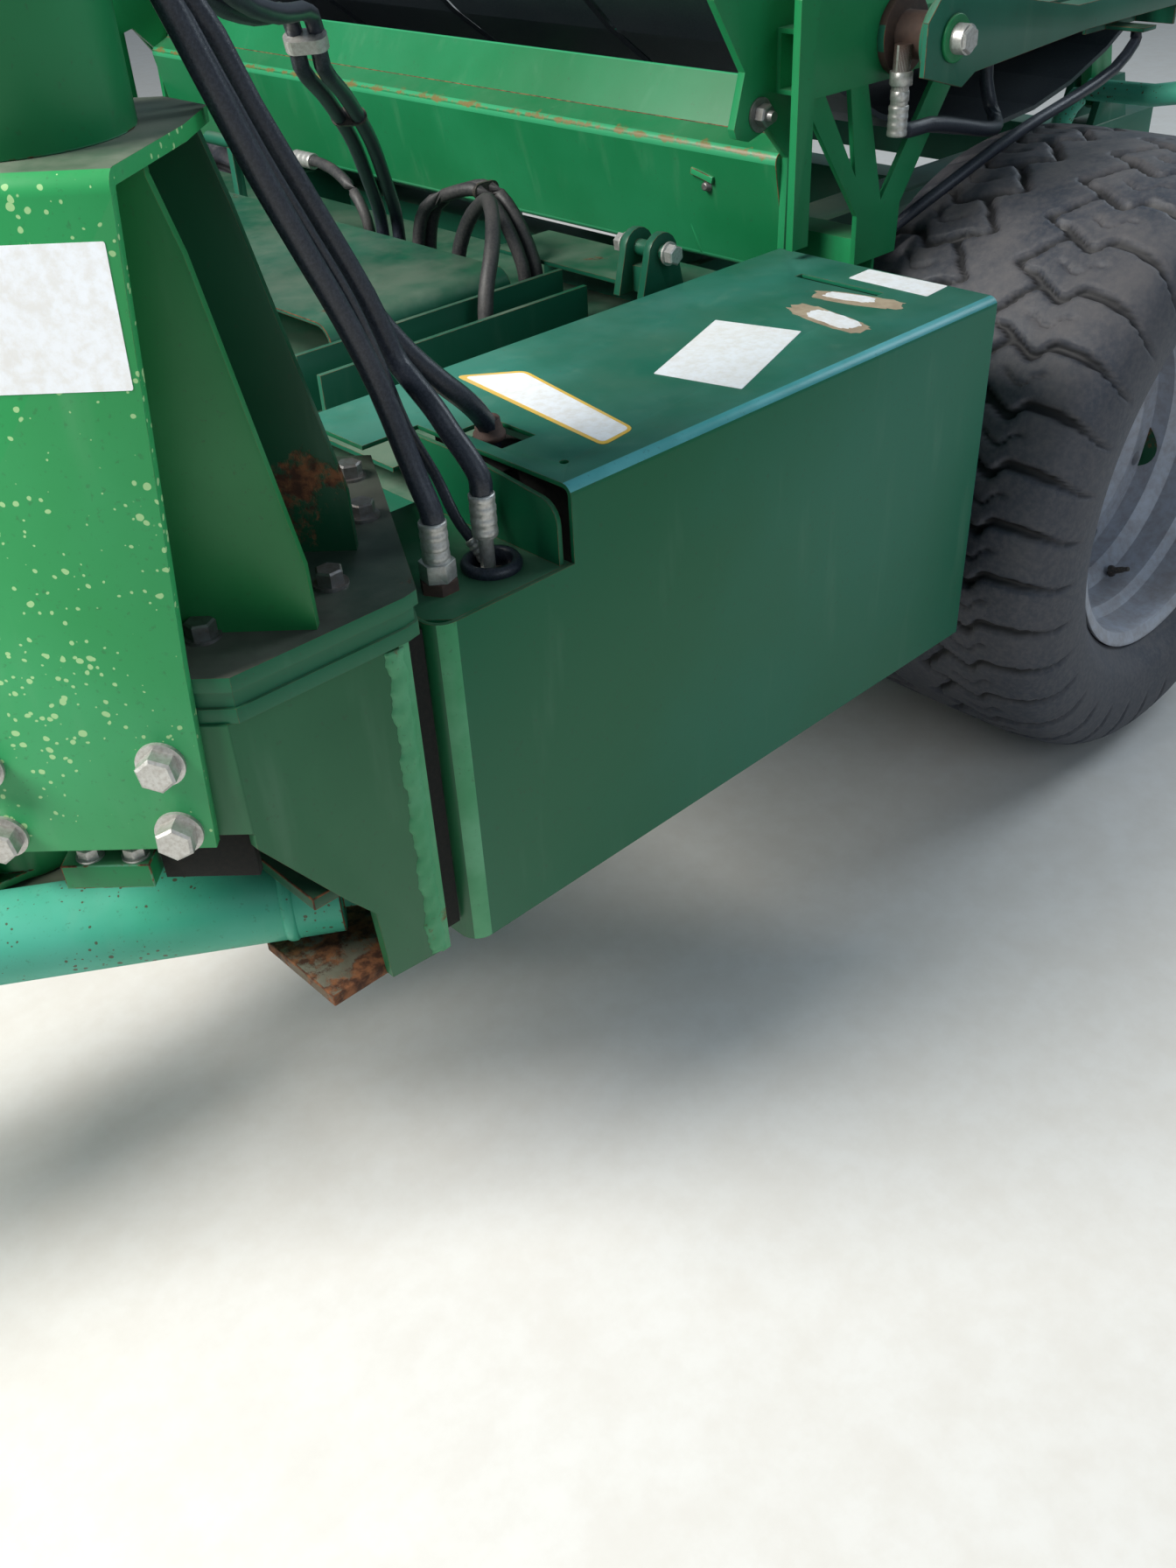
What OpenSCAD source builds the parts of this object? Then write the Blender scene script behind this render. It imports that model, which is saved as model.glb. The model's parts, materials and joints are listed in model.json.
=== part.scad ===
// Trailed twin-satellite round bale wrapper. Millimetres, +X forward, +Y left, +Z up.
// The origin is on the ground, under the middle of the axle.

/* [Wheels] */
// Diameter of a tyre over its lugs
tyre_d = 1000; // [960:10:1040]
// Width of a tyre over its sidewalls
tyre_w = 500; // [460:10:520]
// Outer diameter of the rim flanges
rim_flange_d = 597; // [580:1:610]
// Distance of each wheel's middle from the centre line
wheel_y = 1100; // [1100:5:1160]

/* [Chassis] */
// Distance of each long rail's middle from the centre line
rail_y = 560; // [540:10:580]
// Width of a long rail
rail_w = 100; // [80:5:100]
// Height of a long rail
rail_h = 200; // [180:5:200]
// Height of the rails' underside above the ground
rail_z = 620; // [610:5:630]
// Wall of the square and rectangular tubes
tube_wall = 8; // [5:1:10]
// Rear end of the rails
rail_rear_x = -1080; // [-1120:10:-1060]

/* [Front corner] */
// Distance of the left side plate's outer face from the centre line
side_y = 1260; // [1255:1:1270]
// Upper face of the pedestal's base plate
base_z = 894; // [888:2:900]
// Thickness of the upper and the lower base plate
base_t = 15; // [12:1:16]
// Thickness of the packing plate between them
pack_t = 18; // [12:1:18]

/* [Mast] */
// Place of the mast along the machine
mast_x = 1730; // [1726:1:1734]
// Place of the mast across the machine
mast_y = 1100; // [1096:1:1104]
// Outer diameter of the mast tube
mast_d = 194; // [180:2:200]
// Wall of the mast tube
mast_wall = 10; // [6:1:14]
// Upper face of the pedestal's top plate
pedestal_top_z = 1303; // [1290:1:1320]
// Height of the boom's middle line
boom_z = 2950; // [2930:10:3050]
// Radius of the bend between mast and boom
mast_bend_r = 420; // [340:10:480]

/* [Side covers] */
// Width of a side cover
cover_w = 365; // [340:5:370]
// Rear face of a side cover
cover_rear_x = 564; // [560:2:580]
// Forward end of the cover's full-height part
cover_front_x = 1324; // [1310:2:1330]
// Forward face of the cover's low nose
nose_front_x = 1508; // [1480:2:1510]
// Upper face of a side cover
cover_top_z = 926; // [910:2:940]
// Lower edge of a side cover
cover_low_z = 429; // [420:1:460]
// Upper face of the low nose
nose_top_z = 840; // [820:2:850]
// Thickness of the cover sheet
sheet_t = 5; // [3:1:6]

/* [Table] */
// Height of the rollers' axis
roller_z = 1290; // [1280:5:1295]
// Place of the front roller
roller_front_x = 430; // [420:5:435]
// Place of the rear roller
roller_rear_x = -730; // [-740:5:-725]
// Diameter of the rollers
roller_d = 150; // [130:5:150]
// Width of one belt
belt_w = 375; // [340:5:385]
// Distance between the middles of neighbouring belts
belt_pitch = 400; // [395:5:405]
// Thickness of a belt
belt_t = 8; // [6:1:8]
// Lowest point of the belts
belt_low_z = 955; // [950:5:970]

/* [Satellite] */
// Place of the rotor's axis along the machine
rotor_x = -150; // [-160:5:-140]
// Distance of each drop arm's middle from the rotor's axis
drop_r = 1180; // [1170:5:1190]
// Lower face of a film dispenser's lower plate
dispenser_low_z = 1360; // [1356:2:1380]
// Height of a film dispenser over its plates
dispenser_h = 800; // [760:10:820]

/* [Drawbar] */
// Place of the drawbar's hinge along the machine
hinge_x = 1780; // [1775:1:1785]
// Place of the drawbar's hinge across the machine
hinge_y = 700; // [695:1:705]
// Length of the drawbar from its hinge to the towing eye
drawbar_l = 2330; // [2250:10:2450]
// Height of the drawbar's middle line
drawbar_z = 515; // [512:1:518]

/* [Hidden] */

green = "#1f8a4c";
dark_green = "#14603a";
silver = "#b9bcc0";
steel = "#8d9094";
black = "#1d1f24";

axle_z = tyre_d / 2;
rail_top_z = rail_z + rail_h;
rail_in = rail_y - rail_w / 2;
rail_out = rail_y + rail_w / 2;
box_top_z = base_z - 2 * base_t - pack_t;

// angles of the boom in plan, and of the pedestal that stands across the corner
boom_a = atan2(-mast_y, rotor_x - mast_x);
boom_reach = sqrt(mast_y * mast_y + (rotor_x - mast_x) * (rotor_x - mast_x));
ped_a = 45;
// bevelled corner: distance of its face from the mast's middle
facet_n = 121;
corner_x = mast_x + facet_n * sqrt(2) + mast_y - side_y;
corner_y = mast_y + facet_n * sqrt(2) + mast_x - 1889;

// hinges and pins
tip_x = -900;
tip_z = 880;
tip_pin_r = 20;
swing_z = 530;
swing_eye_h = 118;
swing_base = [1555, 1206, swing_z];
swing_eye = [2200, 785, swing_z];
drawbar_a = -6;
tilt_base = [-420, 0, 600];
tilt_eye = [290, 0, 940];
loader_pivot = [1330, 0, 560];
loader_pin_r = 25;
ram_base = [500, 0, 440];
horn_l = 260;
horn_a = 36.5;
ram_eye = [loader_pivot[0] + horn_l * sin(horn_a), 0, loader_pivot[2] - horn_l * cos(horn_a)];
arm_y = 400;
// rear edge of the deck cover
cover_edge_x = 860;

module tube_x(l, w, h, t) {
    // rectangular tube along X from x = 0, its middle at y = 0, its underside at z = 0
    translate([0, -w / 2, 0])
        difference() {
            cube([l, w, h]);
            translate([-1, t, t])
                cube([l + 2, w - 2 * t, h - 2 * t]);
        }
}

module tube_y(l, w, h, t) {
    // rectangular tube along Y, its middle at x = 0 and y = 0, its underside at z = 0
    translate([-w / 2, -l / 2, 0])
        difference() {
            cube([w, l, h]);
            translate([t, -1, t])
                cube([w - 2 * t, l + 2, h - 2 * t]);
        }
}

module tube_z(l, w, d, t) {
    translate([-w / 2, -d / 2, 0])
        difference() {
            cube([w, d, l]);
            translate([t, t, -1])
                cube([w - 2 * t, d - 2 * t, l + 2]);
        }
}

module plate_xz(points, y, t) {
    // plate that stands along X, its right face at y, its outline in X and Z
    translate([0, y + t, 0])
        rotate([90, 0, 0])
            linear_extrude(t)
                polygon(points);
}

module rod_y(r, l, n = 48) {
    rotate([90, 0, 0])
        cylinder(r = r, h = l, center = true, $fn = n);
}

module box_between(a, b) {
    translate(a)
        cube(b - a);
}

// Round tube made of straight lengths and bends: rows of length, bend radius, bend angle.
// It starts along +Z and bends towards +X.
module tube_chain(rows, r, n = 64, i = 0) {
    if (i < len(rows)) {
        row = rows[i];
        if (row[0] > 0)
            cylinder(r = r, h = row[0], $fn = n);
        translate([row[1], 0, row[0]]) {
            if (row[2] > 0)
                rotate([90, 0, 180])
                    rotate_extrude(angle = row[2], $fn = n)
                        translate([row[1], 0])
                            circle(r = r, $fn = n);
            rotate([0, row[2], 0])
                translate([-row[1], 0, 0])
                    tube_chain(rows, r, n, i + 1);
        }
    }
}

// Hoses: a ring of points at each point of a route, joined into one skin
function unit(v) = v / norm(v);
function route_dir(p, i) = unit(p[min(i + 1, len(p) - 1)] - p[max(i - 1, 0)]);
function side_of(d) = unit(cross(d, abs(d[1]) > 0.9 ? [1, 0, 0] : [0, 1, 0]));
function ring(p, i, r, n) =
    let (d = route_dir(p, i), s = side_of(d), u = cross(s, d))
    [for (k = [0:n - 1]) p[i] + r * (cos(360 * k / n) * s + sin(360 * k / n) * u)];
function knot(p, i) = p[min(max(i, 0), len(p) - 1)];
function curve_at(p, i, t) =
    let (a = knot(p, i - 1), b = knot(p, i), c = knot(p, i + 1), d = knot(p, i + 2))
    0.5 * (2 * b + (c - a) * t + (2 * a - 5 * b + 4 * c - d) * t * t + (3 * b - a - 3 * c + d) * t * t * t);
function smooth(p, m) = [for (i = [0:len(p) - 2]) for (k = [0:m - 1]) curve_at(p, i, k / m)];
function smooth_whole(p, m) = concat(smooth(p, m), [p[len(p) - 1]]);

module hose(route, r, n = 8) {
    rings = len(route);
    pts = [for (i = [0:rings - 1]) each ring(route, i, r, n)];
    sides = [for (i = [0:rings - 2]) for (k = [0:n - 1])
        [i * n + k, i * n + (k + 1) % n, (i + 1) * n + (k + 1) % n, (i + 1) * n + k]];
    first = [for (k = [n - 1:-1:0]) k];
    last = [for (k = [0:n - 1]) (rings - 1) * n + k];
    polyhedron(points = pts, faces = concat(sides, [first], [last]), convexity = 6);
}

// Hydraulic cylinders, along +X from the base pin; the pins stand along Z
module barrel(l, r, rod_r, eye_r, eye_h, pin_r) {
    difference() {
        union() {
            cylinder(r = eye_r, h = eye_h, center = true, $fn = 48);
            translate([eye_r - 12, -18, -18])
                cube([70 - eye_r + 14, 36, 36]);
            translate([68, 0, 0])
                rotate([0, 90, 0])
                    cylinder(r = r, h = l - 68, $fn = 64);
            translate([l - 34, 0, 0])
                rotate([0, 90, 0])
                    cylinder(r = r + 5, h = 30, $fn = 64);
        }
        cylinder(r = pin_r + 0.05, h = eye_h + 2, center = true, $fn = 48);
        translate([80, 0, 0])
            rotate([0, 90, 0])
                cylinder(r = r - 8, h = l - 120, $fn = 64);
        translate([l - 50, 0, 0])
            rotate([0, 90, 0])
                cylinder(r = rod_r + 0.3, h = 60, $fn = 48);
    }
}

module ram(l, rod_r, eye_r, eye_h, pin_r, pin_l) {
    // piston rod along -X from its eye, with the eye's pin
    difference() {
        union() {
            cylinder(r = eye_r, h = eye_h, center = true, $fn = 48);
            translate([-l, 0, 0])
                rotate([0, 90, 0])
                    cylinder(r = rod_r, h = l - eye_r + 8, $fn = 48);
        }
        cylinder(r = pin_r + 0.05, h = eye_h + 2, center = true, $fn = 48);
    }
    cylinder(r = pin_r + 0.05, h = pin_l, center = true, $fn = 48);
}

// Wheels, about the Z axis with the outer side towards +Z

rim_half = 212;
seat_r = rim_flange_d / 2 - 13;
hub_bore_r = 35.05;
stud_pcd = 275;
stud_count = 8;

module rim() {
    f = rim_flange_d / 2;
    h = rim_half;
    color(silver) {
        // flange, bead seat and stepped well, 9 mm thick: columns are radius and distance
        rotate_extrude($fn = 96)
            polygon([
                [f, -h], [f, 7 - h], [seat_r, 14 - h], [seat_r - 4, 62 - h],
                [seat_r - 20, 74 - h], [seat_r - 24, 118 - h], [seat_r - 46, 140 - h],
                [seat_r - 46, h - 140], [seat_r - 24, h - 118], [seat_r - 20, h - 74],
                [seat_r - 4, h - 62], [seat_r, h - 14], [f, h - 7], [f, h],
                [f - 6, h], [seat_r - 9, h - 8], [seat_r - 13, h - 66],
                [seat_r - 29, h - 80], [seat_r - 33, h - 124], [seat_r - 55, h - 146],
                [seat_r - 55, 146 - h], [seat_r - 33, 124 - h], [seat_r - 29, 80 - h],
                [seat_r - 13, 66 - h], [seat_r - 9, 8 - h], [f - 6, -h]]);
        difference() {
            union() {
                rotate_extrude($fn = 96)
                    polygon([[60, -8], [150, -8], [190, 22], [seat_r - 54, 22],
                        [seat_r - 54, 36], [186, 36], [146, 6], [60, 6]]);
                translate([0, 0, -170])
                    cylinder(r = 80, h = 200, $fn = 64);
                cylinder(r = 52, h = 62, $fn = 48);
                for (k = [0:stud_count - 1])
                    rotate([0, 0, 360 / stud_count * k])
                        translate([stud_pcd / 2, 0, 0])
                            cylinder(r = 15, h = 24, $fn = 6);
            }
            translate([0, 0, -180])
                cylinder(r = hub_bore_r, h = 195, $fn = 64);
            for (k = [0:7])
                rotate([0, 0, 22.5 + 45 * k])
                    translate([208, 0, 10])
                        cylinder(r = 13, h = 40, $fn = 32);
        }
    }
}

module tyre() {
    f = rim_flange_d / 2;
    h = tyre_w / 2;
    q = rim_half;
    r = tyre_d / 2;
    color(black)
        rotate_extrude($fn = 96)
            polygon([
                [seat_r, 14 - q], [f, 7 - q], [f + 16, -q - 6], [f + 60, 6 - h], [f + 95, -h],
                [r - 70, 6 - h], [r - 34, 22 - h], [r - 12, 44 - h], [r, 90 - h],
                [r, h - 90], [r - 12, h - 44], [r - 34, h - 22], [r - 70, h - 6],
                [f + 95, h], [f + 60, h - 6], [f + 16, q + 6], [f, q - 7], [seat_r, q - 14],
                [seat_r - 3, q - 50], [f + 14, q - 30], [f + 90, h - 26], [r - 60, h - 40],
                [r - 40, h - 80], [r - 40, 80 - h], [r - 60, 40 - h], [f + 90, 26 - h],
                [f + 14, 30 - q], [seat_r - 3, 50 - q]]);
}

module at_wheel(side) {
    translate([0, side * wheel_y, axle_z])
        rotate([-90 * side, 0, 0])
            children();
}

beam_end = wheel_y - 240;

module axle() {
    color(green) {
        translate([0, 0, axle_z - 60])
            tube_y(2 * beam_end, 120, 120, 10);
        for (s = [-1, 1]) {
            translate([0, s * (beam_end + 10), axle_z])
                rod_y(85, 20);
            translate([0, s * (beam_end + 130), axle_z])
                rod_y(35, 230);
        }
    }
}

// Chassis

module chassis_frame() {
    color(green) {
        difference() {
            union() {
                translate([rail_rear_x, rail_y, rail_z])
                    tube_x(1640 - rail_rear_x, rail_w, rail_h, tube_wall);
                translate([rail_rear_x, -rail_y, rail_z])
                    tube_x(1460 - rail_rear_x, rail_w, rail_h, tube_wall);
                for (s = [-1, 1]) {
                    // axle seats below the rails
                    box_between([-90, s * rail_y - 60, axle_z + 60], [90, s * rail_y + 60, rail_z]);
                    // lugs of the loading fork's pivot
                    for (y = [rail_in - 2, rail_out - 22])
                        plate_xz([[1250, rail_z], [1275, 540], [1300, 510], [1360, 510], [1385, 540],
                            [1410, rail_z]], s > 0 ? y : -y - 20, 20);
                    // brackets inside the side covers
                    for (x = [640, 1236])
                        translate([x, s * (rail_out + side_y - sheet_t) / 2, rail_z + 100])
                            tube_y(side_y - sheet_t - rail_out, 60, 60, 6);
                    // ears of the table's hinge and pads that the table's front rests on
                    for (y = [rail_in + 6, rail_out - 22])
                        plate_xz([[tip_x - 70, rail_top_z], [tip_x + 70, rail_top_z], [tip_x + 36, tip_z + 30],
                            [tip_x - 36, tip_z + 30]], s > 0 ? y : -y - 16, 16);
                    translate([tip_x, s * rail_y, tip_z])
                        rod_y(tip_pin_r, 96);
                    box_between([395, s * rail_y - 30, rail_top_z], [455, s * rail_y + 30, 860]);
                }
                // columns: x of the middle, height of the underside
                for (row = [[rail_rear_x + 40, 660], [-520, 640], [300, 660], [500, 640], [940, 660], [1220, 660]])
                    translate([row[0], 0, row[1]])
                        tube_y(2 * rail_in, 80, 110, tube_wall);
                // ears of the tipping cylinder and of the loading cylinder
                for (y = [-46, 32]) {
                    plate_xz([[-500, 745], [-500, 650], [-455, 570], [-420, 562], [-385, 575], [-380, 612],
                        [-400, 640], [-455, 655], [-478, 745]], y, 14);
                    plate_xz([[462, 650], [462, 440], [475, 405], [520, 402], [538, 440], [538, 650]], y, 14);
                }
                translate(tilt_base)
                    rod_y(20, 96);
                translate(ram_base)
                    rod_y(20, 96);
            }
            // bores for the fork's pivot shaft
            for (s = [-1, 1])
                translate([loader_pivot[0], s * rail_y, loader_pivot[2]])
                    rod_y(loader_pin_r + 0.05, 110);
        }
    }
}

module front_corner() {
    color(dark_green) {
        // cross box in front of the left rail, open below
        difference() {
            translate([0, 0, 640])
                linear_extrude(box_top_z - 640)
                    polygon([[1640, 480], [1889, 480], [1889, 1000], [1640, 1000]]);
            translate([0, 0, 630])
                linear_extrude(box_top_z - 640)
                    polygon([[1650, 490], [1879, 490], [1879, 990], [1650, 990]]);
        }
        // bevelled corner part, on the lower side plate
        difference() {
            translate([0, 0, 725])
                linear_extrude(box_top_z - 725)
                    polygon([[1555, 1000], [1889, 1000], [1889, corner_y], [corner_x, side_y], [1555, side_y]]);
            translate([0, 0, 715])
                linear_extrude(box_top_z - 725)
                    polygon([[1567, 1012], [1877, 1012], [1877, corner_y - 5], [corner_x - 5, side_y - 12],
                        [1567, side_y - 12]]);
        }
        plate_xz([[1555, 452], [1621, 458], [1628, 554], [1660, 594], [1740, 706], [1740, 730], [1555, 730]],
            side_y - 12, 12);
        // light flat bar on the side plate's rear edge
        box_between([1543, side_y - 12, 452], [1555, side_y + 2, box_top_z]);
        // plates, web and pin of the drawbar's hinge
        translate([0, 0, 615])
            linear_extrude(25)
                polygon([[1640, 480], [1889, 480], [1889, 900], [1640, 900]]);
        translate([0, 0, 400])
            linear_extrude(25)
                polygon([[1640, 600], [1820, 600], [1870, 650], [1870, 750], [1820, 800], [1640, 800]]);
        box_between([1640, 600, 425], [1665, 800, 615]);
        translate([hinge_x, hinge_y, 392])
            cylinder(r = 30, h = 240, $fn = 64);
    }
}

module swing_ears() {
    // ears and pin of the swing cylinder
    color(dark_green) {
        for (z = [swing_z - swing_eye_h / 2 - 16, swing_z + swing_eye_h / 2 + 1])
            translate([0, 0, z])
                linear_extrude(15)
                    polygon([[1518, 1206], [1524, 1180], [1545, 1160], [1620, 1125], [1690, 1120],
                        [1690, side_y - 12], [1555, side_y - 12], [1530, 1235]]);
        box_between([1590, side_y - 90, 605], [1602, side_y - 12, 730]);
    }
    color(steel)
        translate([swing_base[0], swing_base[1], swing_z - swing_eye_h / 2 - 20])
            cylinder(r = 20, h = swing_eye_h + 40, $fn = 48);
}

// one of the stacked base plates, smaller all round by the inset
module base_plate(z, t, inset = 0) {
    translate([0, 0, z])
        linear_extrude(t)
            offset(delta = -inset)
                polygon([[1897, mast_y + 3], [1740, side_y + 0], [1733, side_y + 7], [1545, side_y + 7],
                    [1527, side_y + 3], [1520, side_y - 9], [1365, 975], [1605, 735], [1897, 897]]);
}

module mast_pedestal() {
    color(green) {
        base_plate(base_z - base_t, base_t);
        base_plate(base_z - base_t - pack_t, pack_t, 5);
        base_plate(box_top_z, base_t, 2);
        translate([mast_x, mast_y, 0])
            rotate([0, 0, ped_a]) {
                // front plate, folded back into the top plate
                rotate([90, 0, 90])
                    translate([0, 0, facet_n])
                        linear_extrude(12)
                            polygon([[116, pedestal_top_z - 15], [84, 910], [73, 720], [-150, 720], [-150, 910],
                                [-116, pedestal_top_z - 15]]);
                translate([facet_n - 3, 116, pedestal_top_z - 15])
                    rotate([90, 0, 0])
                        linear_extrude(232)
                            polygon(concat([[3, -2], [15, -2]], arc([0, 0], 15, 0, 90, 6), [[-2, 15], [-2, 3]],
                                arc([0, 0], 3, 90, 0, 3)));
                translate([0, 0, pedestal_top_z - 12])
                    linear_extrude(12)
                        polygon([[facet_n - 3, 116], [-12, 132], [-85, 132], [-130, 85], [-130, -85], [-85, -132],
                            [-12, -132], [facet_n - 3, -116]]);
                // webs: columns are place, half width at the foot, half width below the top plate
                for (row = [[30, 178, 112], [-124, 190, 112]])
                    rotate([90, 0, 90])
                        translate([0, 0, row[0]])
                            linear_extrude(12)
                                polygon([[-row[1], base_z], [row[1], base_z], [row[1] - 1, base_z + 60],
                                    [row[2] + 16, pedestal_top_z - 82], [row[2], pedestal_top_z - 24],
                                    [row[2], pedestal_top_z - 12], [-row[2], pedestal_top_z - 12],
                                    [-row[2], pedestal_top_z - 24], [-row[2] - 16, pedestal_top_z - 82],
                                    [1 - row[1], base_z + 60]]);
                // middle web between them and the front plate
                for (x = [[-112, 142], [42, 79]])
                    box_between([x[0], -6, base_z], [x[0] + x[1], 6, pedestal_top_z - 12]);
            }
    }
}

module mast() {
    chain = [[boom_z - mast_bend_r - pedestal_top_z, mast_bend_r, 90],
        [boom_reach - mast_bend_r - 135, 0, 0]];
    color(green)
        translate([mast_x, mast_y, pedestal_top_z])
            rotate([0, 0, boom_a])
                difference() {
                    tube_chain(chain, mast_d / 2);
                    tube_chain(chain, mast_d / 2 - mast_wall);
                }
}

module rotor_drive() {
    color(green)
        translate([rotor_x, 0, 0])
            difference() {
                union() {
                    translate([0, 0, boom_z - 130])
                        cylinder(r = 135, h = 245, $fn = 64);
                    translate([0, 0, boom_z - 144])
                        cylinder(r = 165, h = 14, $fn = 64);
                    translate([0, 0, shaft_low_z])
                        cylinder(r = 50, h = boom_z - 140 - shaft_low_z, $fn = 64);
                }
            }
}

// Covers and deck

function arc(c, r, a, b, n) = [for (k = [0:n]) c + r * [cos(a + (b - a) * k / n), sin(a + (b - a) * k / n)]];

// openings in a cover's top: columns are the corners with the lowest and the highest X and Y
cover_slots = [[640, side_y - 262, 655, side_y - 125], [1258, side_y - 199, 1306, side_y - 125]];

module cover_top_cuts() {
    for (row = cover_slots)
        box_between([row[0], row[1], cover_top_z - 20], [row[2], row[3], cover_top_z + 5]);
    translate([1287, side_y - 49, cover_top_z - 20])
        cylinder(r = 5, h = 25, $fn = 24);
}

module left_cover() {
    difference() {
        cover_sheets();
        cover_top_cuts();
    }
}

module cover_sheets() {
    y0 = side_y - cover_w;
    r = 12;
    color(dark_green) {
        // side, top and inner lip in one fold: outline in Y and Z, along X
        translate([cover_rear_x, 0, 0])
            rotate([90, 0, 90])
                linear_extrude(cover_front_x - cover_rear_x)
                    polygon(concat([[side_y, cover_low_z]], arc([side_y - r, cover_top_z - r], r, 0, 90, 4),
                        [[y0, cover_top_z], [y0, cover_top_z - 60], [y0 + sheet_t, cover_top_z - 60],
                        [y0 + sheet_t, cover_top_z - sheet_t]],
                        arc([side_y - r, cover_top_z - r], r - sheet_t, 90, 0, 4),
                        [[side_y - sheet_t, cover_low_z]]));
        // rear wall
        box_between([cover_rear_x, y0 + sheet_t, cover_low_z],
            [cover_rear_x + sheet_t, side_y - sheet_t, cover_top_z - r]);
        // tab of the top sheet beside the notch
        box_between([cover_front_x, y0, cover_top_z - sheet_t], [cover_front_x + 76, y0 + 118, cover_top_z]);
        // nose: side sheet, rounded fold and front wall
        box_between([cover_front_x, side_y - sheet_t, cover_low_z], [nose_front_x - 25, side_y, nose_top_z]);
        translate([nose_front_x - 25, side_y - 25, cover_low_z])
            rotate_extrude(angle = 90, $fn = 48)
                translate([25 - sheet_t, 0])
                    square([sheet_t, nose_top_z - cover_low_z]);
        box_between([nose_front_x - sheet_t, side_y - 150, cover_low_z], [nose_front_x, side_y - 25, nose_top_z]);
    }
}

module right_cover() {
    mirror([0, 1, 0])
        left_cover();
}

// Bulkhead in the cover's notch: shelf, rear wall and hose fittings
notch_wall_x = cover_front_x + 8;
grommet_p = [1385, 1199];
grommet_r = 22;
hose_a_foot = [1451, 1195];
hose_b_foot = [1388, 1197];

module hose_bulkhead() {
    color(green)
        difference() {
            union() {
                translate([0, 0, nose_top_z - 8])
                    linear_extrude(8)
                        polygon([[cover_front_x + 1, side_y - 247], [nose_front_x - sheet_t, side_y - 247],
                            [nose_front_x - sheet_t, side_y - 25], [nose_front_x - 25, side_y - sheet_t],
                            [cover_front_x + 1, side_y - sheet_t]]);
                translate([notch_wall_x, 0, 0])
                    rotate([90, 0, 90])
                        linear_extrude(6)
                            polygon(concat([[side_y - 247, nose_top_z - 8], [side_y - 8, nose_top_z - 8]],
                                arc([side_y - 34, cover_top_z - 42], 26, 0, 80, 5),
                                [[side_y - 140, cover_top_z - 4], [side_y - 247, cover_top_z - 4]]));
            }
            translate([grommet_p[0], grommet_p[1], nose_top_z - 20])
                cylinder(r = grommet_r + 8, h = 30, $fn = 48);
        }
    color(steel)
        translate([hose_a_foot[0], hose_a_foot[1], nose_top_z]) {
            cylinder(r = 21, h = 12, $fn = 6);
            translate([0, 0, 12])
                rotate([0, 0, 20])
                    cylinder(r = 19, h = 20, $fn = 6);
            translate([0, 0, 32])
                cylinder(r = 14, h = 30, $fn = 48);
        }
    color(steel)
        translate([hose_b_foot[0], hose_b_foot[1], nose_top_z - 60]) {
            cylinder(r = 8, h = 96, $fn = 32);
            translate([0, 0, 96])
                cylinder(r = 13, h = 46, $fn = 48);
        }
}

module deck_plates() {
    color(green) {
        box_between([560, -890, rail_top_z], [1280, 890, rail_top_z + 6]);
        // two flat bars beside the deck cover
        box_between([780, 655, rail_top_z + 6], [1250, 663, 905]);
        box_between([800, 728, rail_top_z + 6], [1265, 736, 900]);
        // raised rear plate beside the cradle
        box_between([630, 470, 892], [750, 860, 898]);
        box_between([640, 470, rail_top_z + 6], [646, 860, 892]);
        // lug that the table rests its latch on: two plates on the rear plate
        for (y = [790, 836])
            plate_xz(concat([[716, 898], [800, 898]], arc([758, 954], 28, 0, 180, 8)), y, 12);
        box_between([744, 802, 898], [772, 836, 934]);
    }
    color(steel) {
        translate([758, 818, 956])
            rod_y(11, 80);
        // pipe on the deck with two clips
        translate([792, -120, 980])
            rod_y(11, 300);
        for (y = [-200, -60])
            box_between([784, y, rail_top_z + 6], [800, y + 16, 972]);
    }
}

module deck_cover() {
    color(green)
        translate([cover_edge_x, 0, 0])
            rotate([90, 0, 90])
                linear_extrude(320)
                    polygon(concat([[640, rail_top_z + 6]], arc([610, 890], 30, 0, 90, 6),
                        arc([-530, 890], 30, 90, 180, 6), [[-560, rail_top_z + 6], [-555, rail_top_z + 6]],
                        arc([-530, 890], 25, 180, 90, 6), arc([610, 890], 25, 90, 0, 6), [[635, rail_top_z + 6]]));
}

// bent tube behind a wheel, in Y and Z: up from the rail, outwards and down
guard_rise = 26;
guard_top = 932;
guard_route = concat([[600, rail_top_z]], arc([700, rail_top_z + 8], 100, 180, 90 + guard_rise, 4),
    arc([892, guard_top - 400], 400, 90 + guard_rise - 12, 90, 2), arc([1120, guard_top - 100], 100, 90, 0, 5),
    [[1220, 640]]);

module rear_guards() {
    color(green)
        both_sides() {
            hose([for (p = guard_route) [-700, p[0], p[1]]], 21, 12);
            box_between([-1105, 1199, 640], [-679, 1241, 682]);
        }
}

module light_bar() {
    color(green) {
        translate([-1130, 0, 640])
            tube_y(2300, 50, 80, 5);
        for (s = [-1, 1])
            box_between([-1105, s * rail_y - 50, 632], [rail_rear_x, s * rail_y + 50, 728]);
    }
    color("#8c1d18")
        for (s = [-1, 1])
            box_between([-1185, s * 1020 - 120, 630], [-1155, s * 1020 + 120, 730]);
}

// Hoses that the machine holds all the way

mast_z0 = 1450;
hose_gap = 0.3;
bend_z = boom_z - mast_bend_r;
boom_u = [cos(boom_a), sin(boom_a), 0];
boom_n = [-sin(boom_a), cos(boom_a), 0];
function mast_point(u, n, z) = [mast_x, mast_y, z] + u * boom_u + n * boom_n;
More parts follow.
